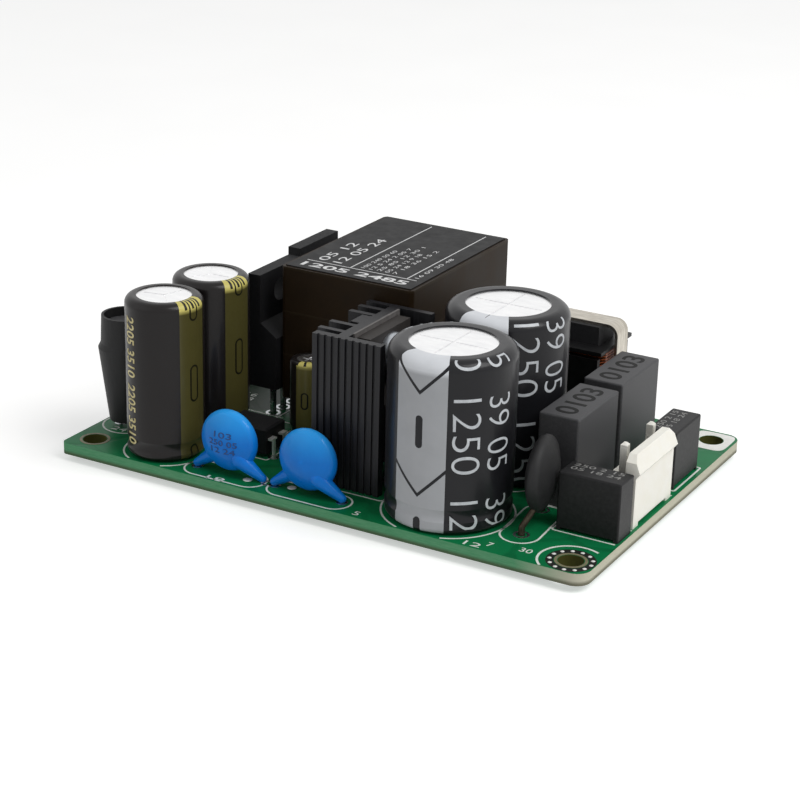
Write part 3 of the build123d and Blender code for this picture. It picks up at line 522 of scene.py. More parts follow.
        # The edge is browner and darker along its lower side
        lower = add(tree, "MapRange", {"Value": along.outputs["Z"], "From Min": BOARD_LOW + 0.25,
                                       "From Max": BOARD_LOW + 0.65, "To Min": 0.75, "To Max": 0.0})
        edge = add(tree, "Mix", {0: lower, 6: edge, 7: linear("#4b4a35")}, data_type="RGBA").outputs[2]
        # The walls of the screw holes lie in their own shade and are stained
        folded = add(tree, "VectorMath", {0: place}, operation="ABSOLUTE")
        from_hole = add(tree, "VectorMath", {0: add(tree, "VectorMath", {0: folded, 1: (1, 1, 0)}, operation="MULTIPLY"),
                                             1: (*HOLE, 0)}, operation="DISTANCE")
        wall = add(tree, "Math", {0: from_hole.outputs["Value"], 1: 1.9}, operation="LESS_THAN")
        edge = add(tree, "Mix", {0: wall, 6: edge, 7: linear("#4a4a20")}, data_type="RGBA").outputs[2]
        tilt = add(tree, "SeparateXYZ", {0: add(tree, "NewGeometry").outputs["Normal"]}).outputs["Z"]
        face = add(tree, "Math", {0: add(tree, "Math", {0: tilt}, operation="ABSOLUTE"), 1: 0.5},
                   operation="GREATER_THAN")
        # Painted shade: the lacquer is darkened round a point under the front rectifier, where the board lies in deep
        # shade
        raised = add(tree, "VectorMath", {0: place, 1: (1, 1, 6)}, operation="MULTIPLY")
        near = add(tree, "VectorMath", {0: raised, 1: (-25.0, 3.2, 6 * BOARD_HIGH)}, operation="DISTANCE")
        painted_shade_under_rectifier = add(tree, "MapRange", {"Value": near.outputs["Value"], "From Min": 5.0, "From Max": 9.0,
                                       "To Min": 0.92, "To Max": 0.0})
        toned = add(tree, "Mix", {0: painted_shade_under_rectifier, 6: toned, 7: linear("#07100b")}, data_type="RGBA").outputs[2]
        colour = add(tree, "Mix", {0: face, 6: edge, 7: toned}, data_type="RGBA").outputs[2]
        shine = add(tree, "MapRange", {"Value": face, "To Min": 0.6, "To Max": 0.36})
        relief = add(tree, "Bump", {"Height": copper, "Strength": 0.6, "Distance": 0.03 * MM})
        grain = add(tree, "Bump", {"Height": fibre, "Normal": relief, "Strength": 0.15, "Distance": 0.05 * MM})
        tree.links.new(colour, shader.inputs["Base Color"])
        tree.links.new(shine.outputs[0], shader.inputs["Roughness"])
        tree.links.new(grain.outputs[0], shader.inputs["Normal"])
        return material

    @staticmethod
    def chips():
        """Small chip parts between the output capacitors and the heat sink: a fired body between two metal ends."""
        # Fired ceramic chip: warm brown and matt
        brown = plain_finish("chip_ceramic_fired", linear("#7a5a3c"), linear("#94714e"), 0.3, (0.45, 0.6), 0.005)
        bodies, ends = [], []
        for x, y, along_x in ((-19.4, -5.2, True), (-19.2, -7.0, True), (-16.8, -9.4, False)):
            way = np.array([1, 0]) if along_x else np.array([0, 1])
            middle = np.array([x, y])
            size = (1.1, 0.85) if along_x else (0.85, 1.1)
            cap = (0.4, 0.9) if along_x else (0.9, 0.4)
            bodies.append(slab(rounded(middle, *size, 0.08), BOARD_HIGH, BOARD_HIGH + 0.5))
            ends += [slab(rounded(middle + side * way * 0.72, *cap, 0.1), BOARD_HIGH, BOARD_HIGH + 0.55)
                     for side in (-1, 1)]
        piece("chip_bodies", *join(bodies), brown, "film")
        piece("chip_ends", *join(ends), FINISH["solder"], "steel")


class SUPPLY_OT_solder(Operator):
    """Solder cones round every lead under the board, and the small bare rings on top"""
    bl_idname = "supply.solder"
    bl_label = "Solder joints"

    def execute(self, context):
        ink = context.scene.supply_board.ink / MM
        thin, thick = [], []
        for node, wide in (("bulk_capacitor_leads", True), ("output_capacitor_leads", False),
                           ("small_capacitor_leads", False), ("film_capacitor_leads", False),
                           ("fuse_leads", False), ("thermistor_leads", True), ("input_header_pins", True),
                           ("output_header_pins", True), ("disc_capacitor_leads", False),
                           ("output_choke_leads", False), ("opto_coupler_pins", False), ("line_choke_pins", True),
                           ("transformer_pins", True), ("heat_sink_pins", True), ("switch_leads", True),
                           ("rectifier_leads", True)):
            (thick if wide else thin).extend(self.feet(node))
        if not thin or not thick:
            raise RuntimeError("no lead tips were found under the board")
        joints = [self.cone(thin, 0.95), self.cone(thick, 1.25)]
        piece("solder_joints", *join(joints), FINISH["solder"], "steel", smooth=True)
        rings = [strip(arc(place, radius, count=24), 0.35, BOARD_HIGH - ink, BOARD_HIGH + ink)
                 for places, radius in ((thin, 0.62), (thick, 0.88)) for place in places]
        piece("bare_pads", *join(rings), FINISH["solder"], "steel")
        return {"FINISHED"}

    @staticmethod
    def feet(node):
        """Middle of each lead tip of a node: its lowest points, gathered where they lie within 0.8 mm."""
        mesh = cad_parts[node].data
        points = np.zeros(len(mesh.vertices) * 3)
        mesh.vertices.foreach_get("co", points)
        points = points.reshape(-1, 3) / MM
        tips = points[points[:, 2] < 0.02][:, :2]
        places = []
        while len(tips):
            near = np.linalg.norm(tips - tips[0], axis=1) < 1.3
            places.append((tips[near].min(0) + tips[near].max(0)) / 2)
            tips = tips[~near]
        return places

    @staticmethod
    def cone(places, radius):
        """Solder drawn up a lead: radius r falls with height as a hollow curve, r = tip + (foot - tip) (1 - t)^2.2."""
        share = np.linspace(0, 1, 7)
        tip = radius * 0.42
        curve = tip + (radius - tip) * (1 - share) ** 2.2
        levels = BOARD_LOW + 0.02 - share * (BOARD_LOW - 0.1)
        profile = [(0, BOARD_LOW + 0.02), *zip(curve, levels), (0, levels[-1])]
        return lathe(profile, places, 16)


class SUPPLY_OT_capacitors(Operator):
    """Cans, seals, printed sleeves and their numbers"""
    bl_idname = "supply.capacitors"
    bl_label = "Round capacitors"

    def execute(self, context):
        settings = context.scene.supply_capacitors
        pitch = settings.print_pitch / MM
        names = [f"{size}_capacitor_{place}" for size in ("bulk", "output") for place in ("front", "rear")]
        names.append("small_capacitor")
        dress(FINISH["can"], *[f"{name}_can" for name in names])
        dress(FINISH["seal"], *[f"{name}_seal" for name in names])
        dress(FINISH["tinned"], "bulk_capacitor_leads", "output_capacitor_leads", "small_capacitor_leads")

        # Shrunk PET sleeve, charcoal with a soft shine and a flat grey printed stripe, its side in painted shade
        for name, angle, shift in (("bulk_capacitor_front", -91.0, 0.0), ("bulk_capacitor_rear", -88.0, 4.4)):
            dress(self.sleeve(name, 16.0, angle, 3.5, settings.bulk_sleeve, settings.bulk_stripe, 0.57,
                              linear("#17171b"), pitch, (13.2 + shift, 2.1, 0.48, 0.0), 18.2 + shift), name + "_sleeve")
            self.bulk_numbers(name, centre(name + "_can"), angle, shift, settings)
        # Shrunk PVC sleeve, brown-black with an old-gold stripe, its side in painted shade
        for name, angle, bar in (("output_capacitor_front", -8.0, 10.6), ("output_capacitor_rear", -10.0, 11.1)):
            dress(self.sleeve(name, 10.2, angle, 2.2, settings.output_sleeve, settings.output_stripe, 0.11,
                              linear("#12110a"), 11.0, (bar, 2.4, 0.6, 0.24), None), name + "_sleeve")
            self.output_numbers(name, centre(name + "_can"), angle)
        dress(self.sleeve("small_capacitor", 5.0, -71.0, 1.25, settings.output_sleeve, settings.output_stripe, 0.22,
                          linear("#12110a"), 7.0, (5.95, 1.1, 0.42, 0.2), None), "small_capacitor_sleeve")
        return {"FINISHED"}

    @staticmethod
    def sleeve(name, dia, angle, half, ground, stripe, painted_side_shade, mark, pitch, bar, chevron):
        """Sleeve with a stripe of half-width `half` facing `angle`, bars and chevrons repeating every pitch.

        u is the way round, radius times angle from the stripe's middle, and v the height over the board. The
        stripe has its full tone on the shoulder and a share of it, given after the stripe's colour, on the side:
        painted shade, as the side takes less light than the shoulder."""
        middle = centre(name + "_can")
        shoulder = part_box(name + "_sleeve")[1].z / MM - BOARD_HIGH - dia / 10
        material, tree, shader, place = begin(name + "_sleeve_shrunk", Specular_IOR_Level=0.18, Coat_Weight=0.12, Coat_Roughness=0.12)
        own = add(tree, "Mapping", {"Vector": place, "Location": (middle[0], middle[1], BOARD_HIGH),
                                    "Rotation": (0, 0, math.radians(angle))}, vector_type="TEXTURE")
        part = add(tree, "SeparateXYZ", {0: own})
        turn = add(tree, "Math", {0: part.outputs["Y"], 1: part.outputs["X"]}, operation="ARCTAN2")
        around = add(tree, "Math", {0: turn, 1: dia / 2}, operation="MULTIPLY")
        u = add(tree, "Math", {0: around}, operation="ABSOLUTE")
        inside = add(tree, "Math", {0: u, 1: half}, operation="LESS_THAN")

        bar_middle, bar_half, bar_wide, rim = bar
        from_bar = add(tree, "Math", {0: part.outputs["Z"], 1: bar_middle}, operation="SUBTRACT")
        wrapped = add(tree, "Math", {0: from_bar, 1: pitch / 2, 2: -pitch / 2}, operation="WRAP")
        v = add(tree, "Math", {0: wrapped}, operation="ABSOLUTE")
        # Rounded bar: distance from a straight run, less its half-width
        past = add(tree, "Math", {0: add(tree, "Math", {0: v, 1: bar_half - bar_wide}, operation="SUBTRACT"), 1: 0.0},
                   operation="MAXIMUM")
        away = add(tree, "Math", {0: add(tree, "Math", {0: past, 1: past}, operation="MULTIPLY"),
                                  1: add(tree, "Math", {0: u, 1: u}, operation="MULTIPLY")}, operation="ADD")
        distance = add(tree, "Math", {0: add(tree, "Math", {0: away}, operation="SQRT"), 1: bar_wide},
                       operation="SUBTRACT")
        if rim:
            distance = add(tree, "Math", {0: add(tree, "Math", {0: distance}, operation="ABSOLUTE"), 1: rim / 2},
                           operation="SUBTRACT")
        marks = add(tree, "Math", {0: distance, 1: 0.0}, operation="LESS_THAN")
        if chevron is not None:
            # Chevron: height over the tip equals the way from the stripe's middle
            over = add(tree, "Math", {0: part.outputs["Z"], 1: chevron}, operation="SUBTRACT")
            again = add(tree, "Math", {0: over, 1: pitch / 2, 2: -pitch / 2}, operation="WRAP")
            off = add(tree, "Math", {0: add(tree, "Math", {0: again, 1: u}, operation="SUBTRACT")},
                      operation="ABSOLUTE")
            thin = add(tree, "Math", {0: off, 1: 0.27}, operation="LESS_THAN")
            marks = add(tree, "Math", {0: marks, 1: thin}, operation="MAXIMUM")
        else:
            # Short strokes over the shoulder
            row = add(tree, "Math", {0: add(tree, "Math", {0: around, 1: 0.6, 2: -0.6}, operation="WRAP")},
                      operation="ABSOLUTE")
            thin = add(tree, "Math", {0: row, 1: 0.19}, operation="LESS_THAN")
            high = add(tree, "Math", {0: part.outputs["Z"], 1: shoulder + 0.15}, operation="GREATER_THAN")
            strokes = add(tree, "Math", {0: thin, 1: high}, operation="MULTIPLY")
            marks = add(tree, "Math", {0: marks, 1: strokes}, operation="MAXIMUM")

        haze = add(tree, "TexNoise", {"Vector": place, "Scale": 0.35, "Detail": 3.0})
        dark = add(tree, "Mix", {0: haze, 6: ground, 7: [c * 1.3 for c in ground[:3]] + [1.0]},
                   data_type="RGBA").outputs[2]
        worn = add(tree, "Mix", {0: haze, 6: stripe, 7: [c * 0.82 for c in stripe[:3]] + [1.0]},
                   data_type="RGBA").outputs[2]
        # Painted shade: the stripe keeps its full tone on the lit shoulder and is dimmed on the side
        raised = add(tree, "MapRange", {"Value": part.outputs["Z"], "From Min": shoulder - 0.4,
                                        "From Max": shoulder + 0.2, "To Min": painted_side_shade, "To Max": 1.0})
        light = add(tree, "VectorMath", {0: worn, "Scale": raised}, operation="SCALE")
        striped = add(tree, "Mix", {0: inside, 6: dark, 7: light}, data_type="RGBA").outputs[2]
        drawn = add(tree, "Math", {0: marks, 1: inside}, operation="MULTIPLY")
        colour = add(tree, "Mix", {0: drawn, 6: striped, 7: mark}, data_type="RGBA").outputs[2]
        matt = add(tree, "MapRange", {"Value": inside, "To Min": 0.3, "To Max": 0.42})
        ripple = add(tree, "TexNoise", {"Vector": place, "Scale": 0.5, "Detail": 1.0})
        bump = add(tree, "Bump", {"Height": ripple, "Strength": 0.5, "Distance": 0.05 * MM})
        tree.links.new(colour, shader.inputs["Base Color"])
        tree.links.new(matt.outputs[0], shader.inputs["Roughness"])
        tree.links.new(bump.outputs[0], shader.inputs["Normal"])
        return material

    @staticmethod
    def bulk_numbers(name, middle, angle, shift, settings):
        """Two columns of plain numbers that repeat up the sleeve and bend over its shoulder."""
        # Silver-grey sleeve print: flat and a little worn
        print_ink = plain_finish(name + "_print", linear("#d6dade"), linear("#b9bdc2"), 0.8, (0.4, 0.55), 0.003)
        height, pitch = settings.print_height / MM, settings.print_pitch / MM
        top, shoulder, low = BOARD_HIGH + 22.4, 1.5, BOARD_HIGH + 0.9
        reach = top - shoulder + shoulder * 1.3
        lines = []
        for text, turn in (("1250", 42.3), ("39 05", 75.0), ("1250", 222.3), ("39 05", 255.0)):
            for step in (-1, 0, 1):
                start = BOARD_HIGH + 17.8 + shift + step * pitch
                first, last = max(0, start - reach), min(9.6, start - low)
                if last - first < 0.5:
                    continue
                carry = on_sleeve(middle, 16.0, top, shoulder, angle + turn, start)
                lines.append(numbers(text, 9.6, height, 0.03, carry, keep=(first, last), weight=-0.014))
        piece(name + "_numbers", *join(lines), print_ink, "bulk_sleeve")

    @staticmethod
    def output_numbers(name, middle, angle):
        """One column of small plain numbers beside the sleeve's seam."""
        # Gold sleeve print: flat and warm
        print_ink = plain_finish(name + "_print", linear("#ecdfa8"), linear("#bcae72"), 0.8, (0.4, 0.55), 0.003)
        lines = [numbers("2205 3510", 8.2, 1.7, 0.025,
                         on_sleeve(middle, 10.2, BOARD_HIGH + 21.6, 1.05, angle - 106, BOARD_HIGH + start), weight=0.012)
                 for start in (19.4, 10.2)]
        piece(name + "_numbers", *join(lines), print_ink, "output_sleeve")


class SUPPLY_OT_mains_parts(Operator):
    """Film capacitors, box fuses, thermistor and disc capacitors"""
    bl_idname = "supply.mains_parts"
    bl_label = "Mains parts"

    def execute(self, context):
        settings = context.scene.supply_parts
        # Spark-eroded thermoplastic case: dull charcoal with a fine even grain
        case = plain_finish("case_plastic_moulded", settings.case, linear("#4d4d4f"), 0.3, (0.45, 0.6), 0.012,
                            Specular_IOR_Level=0.3)
        dress(case, "film_capacitor_front", "film_capacitor_rear")
        # Polished thermoplastic case: near-black with a soft shine
        shell = plain_finish("fuse_plastic_moulded", settings.fuse, linear("#232324"), 0.5, (0.4, 0.52), 0.006,
                             Specular_IOR_Level=0.2)
        dress(shell, "fuse_front", "fuse_rear")
        dress(FINISH["tinned"], "film_capacitor_leads", "fuse_leads", "disc_capacitor_leads")
        # Dip-coated thermistor: dull black lacquer with soft dimples
        lacquer = plain_finish("lacquer_dipped_black", linear("#171718"), linear("#202021"), 1.2, (0.5, 0.65), 0.04,
                               Specular_IOR_Level=0.3)
        dress(lacquer, "thermistor_disc")
        # Lead wire, brown-grey and matt metal, darker than the other leads: painted shade for the shadow the wire lies
        # in
        dull = plain_finish("lead_wire_painted_shade", linear("#544c41"), linear("#353028"), 0.6, (0.5, 0.65), 0.01,
                            Metallic=1.0)
        dress(dull, "thermistor_leads")
        # Dip-coated epoxy: glossy blue, lighter towards the top by painted highlight
        blue, tree, shader, place = begin("epoxy_dipped_blue", IOR=1.52, Coat_Weight=0.14, Coat_Roughness=0.08,
                                          Specular_IOR_Level=0.1)
        coat, _ = mottle(tree, shader, place, settings.disc, linear("#0f84e8"), 4.0, (0.26, 0.34), 0.03)
        # Painted highlight: the coat is lighter towards the top, where the lamp's light catches the dome
        level = add(tree, "SeparateXYZ", {0: place}).outputs["Z"]
        thin = add(tree, "MapRange", {"Value": level, "From Min": BOARD_HIGH + 5.0, "From Max": BOARD_HIGH + 8.6,
                                      "To Max": 0.9})
        painted_highlight_above = add(tree, "Mix", {0: thin, 6: coat, 7: linear("#33acff")}, data_type="RGBA").outputs[2]
        tree.links.new(painted_highlight_above, shader.inputs["Base Color"])
        dress(blue, "disc_capacitor_left", "disc_capacitor_right")
        # Pressed-in print: the same plastic, painted near-black for the shade in its hollows
        dark = plain_finish("case_print_dark", linear("#060606"), linear("#0d0d0d"), 0.3, (0.55, 0.65), 0.005,
                            Specular_IOR_Level=0.2)
        lines = []
        for node in ("film_capacitor_front", "film_capacitor_rear"):
            low, high = (np.array(corner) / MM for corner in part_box(node))
            start = ((low[0] + high[0]) / 2, low[1] + 1.2, high[2])
            lines.append(numbers("0103", high[1] - low[1] - 2.4, 3.0, 0.015, on_plate(start, (0, 1), (-1, 0)), step=9,
                                 weight=0.015))
        piece("case_numbers", *join(lines), dark, "film")
        # Pale laser print on the fuses: thin and worn
        pale = plain_finish("fuse_print_pale", linear("#a9a9a6"), linear("#6a6a68"), 0.35, (0.5, 0.6), 0.003)
        low, high = (np.array(corner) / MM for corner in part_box("fuse_front"))
        lines = [numbers(text, 6.6, 0.8, 0.012, on_plate((low[0] + 0.8, y, high[2]), (1, 0), (0, 1)), step=9)
                 for text, y in (("250 2 15", high[1] - 0.9), ("05 18 24", high[1] - 2.1))]
        low, high = (np.array(corner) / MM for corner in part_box("fuse_rear"))
        lines += [numbers(text, 6.6, 0.8, 0.012, on_plate((x, low[1] + 0.8, high[2]), (0, 1), (-1, 0)), step=9)
                  for text, x in (("250 2 15", low[0] + 0.9), ("05 18 24", low[0] + 2.1))]
        piece("fuse_numbers", *join(lines), pale, "film")
        self.disc_numbers()
        return {"FINISHED"}

    @staticmethod
    def disc_numbers():
        """Rows of small plain numbers on the left disc's face, which is a shallow dome.

        The face lies R - sqrt(R^2 - r^2) behind its crown at the way r from the middle."""
        # Dark blue ink stamped on the coat: flat and thin
        stamp = plain_finish("disc_ink_stamped", linear("#0c3a72"), linear("#134a8c"), 0.4, (0.45, 0.6), 0.002)
        wide, thick, rim = 8.2, 3.6, 1.0
        reach = wide / 2 - rim
        radius = rim + reach / math.sin(2 * math.atan((thick / 2 - rim) / reach))
        near, far = (np.array(corner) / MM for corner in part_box("disc_capacitor_left"))
        crown = np.array([(near[0] + far[0]) / 2, near[1], far[2] - wide / 2])

        def on_dome(start, row):
            def carry(along, up, out):
                x, z = start + along, row + up
                behind = radius - np.sqrt(radius ** 2 - x ** 2 - z ** 2)
                return crown + np.column_stack([x, behind - out, z])
            return carry

        rows = [numbers(text, length, 0.75, 0.06, on_dome(-length / 2, row))
                for text, length, row in (("103", 2.6, 1.15), ("250 05", 4.2, 0.1), ("12 24", 3.6, -0.95))]
        piece("disc_numbers", *join(rows), stamp, "blue_disc")


class SUPPLY_OT_headers(Operator):
    """White pin headers and their square pins"""
    bl_idname = "supply.headers"
    bl_label = "Pin headers"

    def execute(self, context):
        settings = context.scene.supply_parts
        # Injection-moulded nylon: warm white, slightly waxy
        nylon = plain_finish("nylon_moulded_white", settings.nylon, linear("#fbf8ec"), 2.0, (0.35, 0.5), 0.006,
                             Subsurface_Weight=0.1, Subsurface_Scale=0.3 * MM, Subsurface_Radius=(1.0, 0.95, 0.9))
        dress(nylon, "input_header", "output_header")
        dress(FINISH["pin"], "input_header_pins", "output_header_pins")
        return {"FINISHED"}


class SUPPLY_OT_line_choke(Operator):
    """Line choke with its core, coils, bobbin and steel strap"""
    bl_idname = "supply.line_choke"
    bl_label = "Line choke"

    def execute(self, context):
        # Cold-rolled strip steel, plated: pale satin metal with lines along the strip
        strap = plain_finish("strap_steel_rolled", linear("#cfc9bd"), linear("#aaa498"), 0.35, (0.25, 0.42), 0.006,
                             stretch=(0.15, 1.0, 0.15), Metallic=1.0)
        dress(strap, "line_choke_strap")
        dress(FINISH["ferrite"], "line_choke_core")
        dress(wound_copper("copper_enamelled_choke", 0.4, True), "line_choke_coils")
        dress(FINISH["bobbin"], "line_choke_bobbin")
        dress(FINISH["tinned"], "line_choke_pins")
        return {"FINISHED"}


class SUPPLY_OT_heat_sink(Operator):
    """Black heat sink, its transistor with pad and screw, and the two rectifiers"""
    bl_idname = "supply.heat_sink"
    bl_label = "Heat sink and power parts"

    def execute(self, context):
        settings = context.scene.supply_parts
        # Extruded and black-anodised aluminium: satin near-black with upright draw lines
        sink = plain_finish("aluminium_anodised_black", settings.sink, linear("#262629"), 0.2, (0.38, 0.5), 0.01,
                            stretch=(1, 1, 0.03), Specular_IOR_Level=0.28)
        dress(sink, "heat_sink")
        # Silicone-coated glass cloth: pale grey with a fine weave
        pad, tree, shader, place = begin("pad_silicone_coated")
        weave = add(tree, "TexWave", {"Vector": place, "Scale": 0.8, "Distortion": 0.4}, bands_direction="Z")
        _, grain = mottle(tree, shader, place, linear("#565352"), linear("#6b6866"), 0.6, (0.55, 0.7), 0.01)
        woven = add(tree, "Bump", {"Height": weave, "Normal": grain, "Strength": 0.3, "Distance": 0.03 * MM})
        tree.links.new(woven.outputs[0], shader.inputs["Normal"])
        dress(pad, "switch_pad")
        # Sanded moulding compound: warm dark grey and matt
        sanded = plain_finish("epoxy_package_sanded", linear("#2d2a29"), linear("#3a3735"), 0.3, (0.55, 0.7), 0.01,
                              Specular_IOR_Level=0.25)
        dress(sanded, "switch_package")
        dress(FINISH["epoxy"], "rectifier_front", "rectifier_rear")
        dress(FINISH["tinned"], "switch_leads", "rectifier_leads", "heat_sink_pins")
        # Zinc-plated steel: bluish silver, bright
        zinc = plain_finish("screw_zinc_plated", linear("#bfc3c8"), linear("#9da2a8"), 0.5, (0.25, 0.4), 0.01,
                            Metallic=1.0)
        dress(zinc, "switch_screw")
        return {"FINISHED"}


class SUPPLY_OT_transformer(Operator):
    """Transformer with its tape wrap and top plate"""
    bl_idname = "supply.transformer"
    bl_label = "Transformer"

    def execute(self, context):
        settings = context.scene.supply_parts
        # Polyester tape wound in layers: dark brown-black film with a glossy, slightly lapped skin
        tape, tree, shader, place = begin("tape_polyester_wound", Specular_IOR_Level=0.12)
        colour, grain = mottle(tree, shader, place, settings.tape, linear("#281c0e"), 6.0, (0.42, 0.55), 0.02)
        height = add(tree, "SeparateXYZ", {0: place}).outputs["Z"]
        lap = add(tree, "Math", {0: height, 1: 6.1}, operation="MODULO")
        ledge = add(tree, "MapRange", {"Value": lap, "From Min": 5.7, "From Max": 6.1})
        lapped = add(tree, "Bump", {"Height": ledge, "Normal": grain, "Strength": 0.3, "Distance": 0.04 * MM})
        edge = add(tree, "Mix", {0: ledge, 6: colour, 7: linear("#30271a")}, data_type="RGBA").outputs[2]
        tree.links.new(edge, shader.inputs["Base Color"])
        tree.links.new(lapped.outputs[0], shader.inputs["Normal"])
        dress(tape, "transformer_wrap")
        # Printed polyester plate: dark grey, matt
        plate = plain_finish("plate_polyester_printed", settings.plate, linear("#1c1c1d"), 1.5, (0.45, 0.6), 0.004,
                             Specular_IOR_Level=0.16)
        dress(plate, "transformer_label")
        dress(FINISH["ferrite"], "transformer_core")
        dress(FINISH["bobbin"], "transformer_bobbin")
        dress(wound_copper("copper_enamelled_winding", 0.5, True), "transformer_coil")
        dress(FINISH["tinned"], "transformer_pins")
        self.plate_print()
        return {"FINISHED"}

    @staticmethod
    def plate_print():
        """Thin ruled lines and rows of plain numbers on the plate."""
        low, high = (np.array(corner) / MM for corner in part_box("transformer_label"))
        top = high[2]
        # White plate print: thin and matt
        white = plain_finish("plate_print_white", linear("#f4f4f4"), linear("#d6d7d8"), 0.5, (0.45, 0.6), 0.002)
        rules = [strip(np.array([[low[0] + 1.3, low[1] + 3.4], [high[0] - 1.0, low[1] + 3.4]]), 0.16, top - 0.01,
                       top + 0.012, closed=False)]
        rules += [strip(np.array([[x, low[1] + 3.4], [x, high[1] - 1.0]]), 0.16, top - 0.01, top + 0.012, closed=False)
                  for x in (-9.6, -1.0)]
        first = low[1] + 4.3
        lines = [numbers(text, length, tall, 0.012, on_plate((x, first, top), (0, 1), (-1, 0)), step=9, weight=weight)
                 for text, x, length, tall, weight in (
                     ("05 12", -14.6, 9.0, 1.4, 0.0), ("12 05 24", -12.2, 12.5, 1.4, 0.0),
                     ("100 240 50 60", -8.2, 9.0, 0.6, -0.01), ("12 5 24 2 05 7", -7.0, 11.0, 0.6, -0.01),
                     ("25 85 12 30 1", -5.8, 12.5, 0.6, -0.01), ("05 24 12 9 18", -4.6, 9.5, 0.6, -0.01),
                     ("7 18 36 15 2", -3.4, 12.0, 0.6, -0.01), ("16 09 30 48", 0.0, 10.0, 0.6, -0.01))]
        # The bold row in the band along the near edge
        lines.append(numbers("1205 2485", 16.0, 1.6, 0.012, on_plate((low[0] + 1.5, low[1] + 1.8, top), (1, 0), (0, 1)),
                             step=9, weight=0.02))
        piece("plate_rules_and_numbers", *join(rules + lines), white, "label")


class SUPPLY_OT_small_parts(Operator):
    """Opto-coupler and the output choke in its shrunk tube"""
    bl_idname = "supply.small_parts"
    bl_label = "Opto-coupler and output choke"

    def execute(self, context):
        dress(FINISH["epoxy"], "opto_coupler")
        dress(FINISH["tinned"], "output_choke_leads")
        dress(FINISH["pin"], "opto_coupler_pins")
        # Heat-shrunk polyolefin: matt black with soft upright wrinkles
        tube = plain_finish("tube_polyolefin_shrunk", linear("#151516"), linear("#1e1e1f"), 1.1, (0.5, 0.62), 0.07,
                            stretch=(1, 1, 0.3), Specular_IOR_Level=0.3)
        dress(tube, "output_choke_tube")
        # Ground ferrite end of the drum core: mid grey and matt
        drum = plain_finish("ferrite_drum_ground", linear("#3e3e40"), linear("#4c4c4e"), 0.4, (0.5, 0.65), 0.01,
                            Specular_IOR_Level=0.3)
        dress(drum, "output_choke_drum")
        dress(wound_copper("copper_enamelled_drum", 0.5, True), "output_choke_coil")
        return {"FINISHED"}


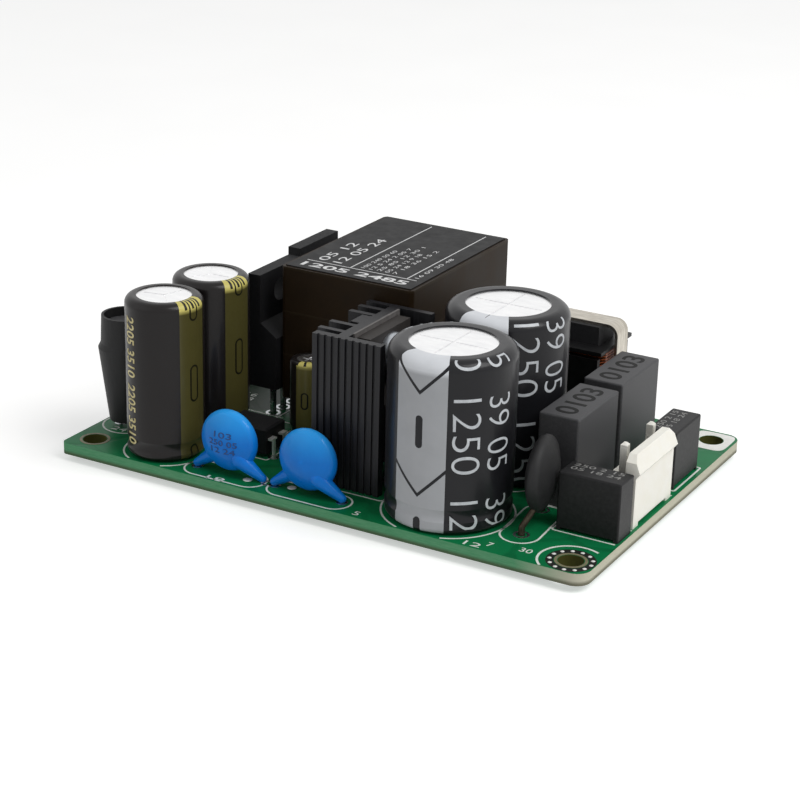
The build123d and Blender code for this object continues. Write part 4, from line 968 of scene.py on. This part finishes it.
class SUPPLY_OT_studio(Operator):
    """Floor, soft lamps, room light and the camera"""
    bl_idname = "supply.studio"
    bl_label = "Studio"

    def execute(self, context):
        settings = context.scene.supply_studio
        scene = context.scene
        scene.view_settings.view_transform = "Standard"
        self.floor()
        self.room(scene, settings)
        target = Vector((2.6, -6.57, 10.8)) * MM
        for name, power, size, place in (("key_lamp", settings.key, 0.34, (0.36, -0.02, 0.44)),
                                         ("fill_lamp", settings.fill, 0.45, (-0.3, -0.35, 0.25))):
            lamp = bpy.data.lights.new(name, "AREA")
            lamp.energy, lamp.size = power, size
            holder = bpy.data.objects.new(name, lamp)
            holder.location = Vector(place) + target
            holder.rotation_euler = (-Vector(place)).to_track_quat("-Z", "Y").to_euler()
            scene.collection.objects.link(holder)
        self.camera(scene, settings, target)
        return {"FINISHED"}

    @staticmethod
    def floor():
        """Large pale disc under the lead tips. What the camera sees of it is lifted to white, less the shadow."""
        material = bpy.data.materials.new("paper_floor")
        material.use_nodes = True
        tree = material.node_tree
        tree.nodes.clear()
        fibre = add(tree, "TexNoise", {"Vector": add(tree, "TexCoord").outputs["Object"], "Scale": 40.0})
        tone = add(tree, "Mix", {0: fibre, 6: linear("#e4e4e3"), 7: linear("#eaeae9")}, data_type="RGBA").outputs[2]
        paper = add(tree, "BsdfDiffuse", {"Color": tone})
        path = add(tree, "LightPath")
        seen = add(tree, "Math", {0: path.outputs["Is Camera Ray"], 1: path.outputs["Is Glossy Ray"]}, operation="MAXIMUM")
        seen = add(tree, "Math", {0: seen, 1: path.outputs["Is Transmission Ray"]}, operation="MAXIMUM")
        lift = add(tree, "Math", {0: seen, 1: 0.5}, operation="MULTIPLY")
        glow = add(tree, "Emission", {"Color": (1, 1, 1, 1), "Strength": lift})
        add(tree, "OutputMaterial", {"Surface": add(tree, "AddShader", {0: paper, 1: glow})})
        turn = np.linspace(0, 2 * math.pi, 64, endpoint=False)
        rim = np.column_stack([3 * np.cos(turn), 3 * np.sin(turn), np.full(64, -0.0002)])
        mesh = bpy.data.meshes.new("floor")
        mesh.from_pydata(rim.tolist(), [], [list(range(64))])
        mesh.materials.append(material)
        made = bpy.data.objects.new("floor", mesh)
        bpy.context.scene.collection.objects.link(made)

    @staticmethod
    def room(scene, settings):
        """Even light from all sides; the camera and mirror-like surfaces see it white."""
        world = bpy.data.worlds.new("room")
        world.use_nodes = True
        tree = world.node_tree
        tree.nodes.clear()
        path = add(tree, "LightPath")
        seen = add(tree, "Math", {0: path.outputs["Is Camera Ray"], 1: path.outputs["Is Glossy Ray"]}, operation="MAXIMUM")
        seen = add(tree, "Math", {0: seen, 1: path.outputs["Is Transmission Ray"]}, operation="MAXIMUM")
        dim = add(tree, "Background", {"Strength": settings.sky})
        white = add(tree, "Background", {"Color": (1, 1, 1, 1), "Strength": 1.0})
        dim.inputs["Color"].default_value = (1, 1, 1, 1)
        add(tree, "OutputWorld", {"Surface": add(tree, "MixShader", {0: seen, 1: dim, 2: white})})
        scene.world = world

    @staticmethod
    def camera(scene, settings, target):
        """Camera on a circle round the target: it looks along f, with r to its right and u up, turned by the roll."""
        a, e, roll = settings.azimuth, settings.elevation, settings.roll
        f = Vector((-math.sin(a) * math.cos(e), math.cos(a) * math.cos(e), -math.sin(e)))
        r = Vector((math.cos(a), math.sin(a), 0))
        u = r.cross(f)
        right = r * math.cos(roll) + u * math.sin(roll)
        up = u * math.cos(roll) - r * math.sin(roll)
        data = bpy.data.cameras.new("camera")
        data.sensor_width = 36.0
        data.lens = settings.lens
        data.clip_start, data.clip_end = 0.01, 10.0
        holder = bpy.data.objects.new("camera", data)
        holder.matrix_world = Matrix((right, up, -f)).transposed().to_4x4()
        holder.matrix_world.translation = target - f * settings.distance
        scene.collection.objects.link(holder)
        scene.camera = holder


OPERATORS = (SUPPLY_OT_board, SUPPLY_OT_solder, SUPPLY_OT_capacitors, SUPPLY_OT_mains_parts, SUPPLY_OT_headers,
             SUPPLY_OT_line_choke, SUPPLY_OT_heat_sink, SUPPLY_OT_transformer, SUPPLY_OT_small_parts,
             SUPPLY_OT_studio)
SETTINGS = {"supply_board": BoardSettings, "supply_capacitors": CapacitorSettings, "supply_parts": PartSettings,
            "supply_studio": StudioSettings}


class SUPPLY_PT_panel(Panel):
    """Sizes and colours, and a button for each group of pieces"""
    bl_idname = "SUPPLY_PT_panel"
    bl_label = "Power supply"
    bl_space_type = "VIEW_3D"
    bl_region_type = "UI"
    bl_category = "Power supply"

    def draw(self, context):
        for name, group in SETTINGS.items():
            box = self.layout.box()
            for setting in group.__annotations__:
                box.prop(getattr(context.scene, name), setting)
        for operator in OPERATORS:
            self.layout.operator(operator.bl_idname)


CLASSES = (*SETTINGS.values(), *OPERATORS, SUPPLY_PT_panel)


def register():
    for kind in CLASSES:
        bpy.utils.register_class(kind)
    for name, group in SETTINGS.items():
        setattr(bpy.types.Scene, name, PointerProperty(type=group))


def unregister():
    for name in SETTINGS:
        delattr(bpy.types.Scene, name)
    for kind in reversed(CLASSES):
        bpy.utils.unregister_class(kind)


def main():
    register()
    for operator in OPERATORS:
        group, name = operator.bl_idname.split(".")
        getattr(getattr(bpy.ops, group), name)()


if __name__ == "__main__":
    main()
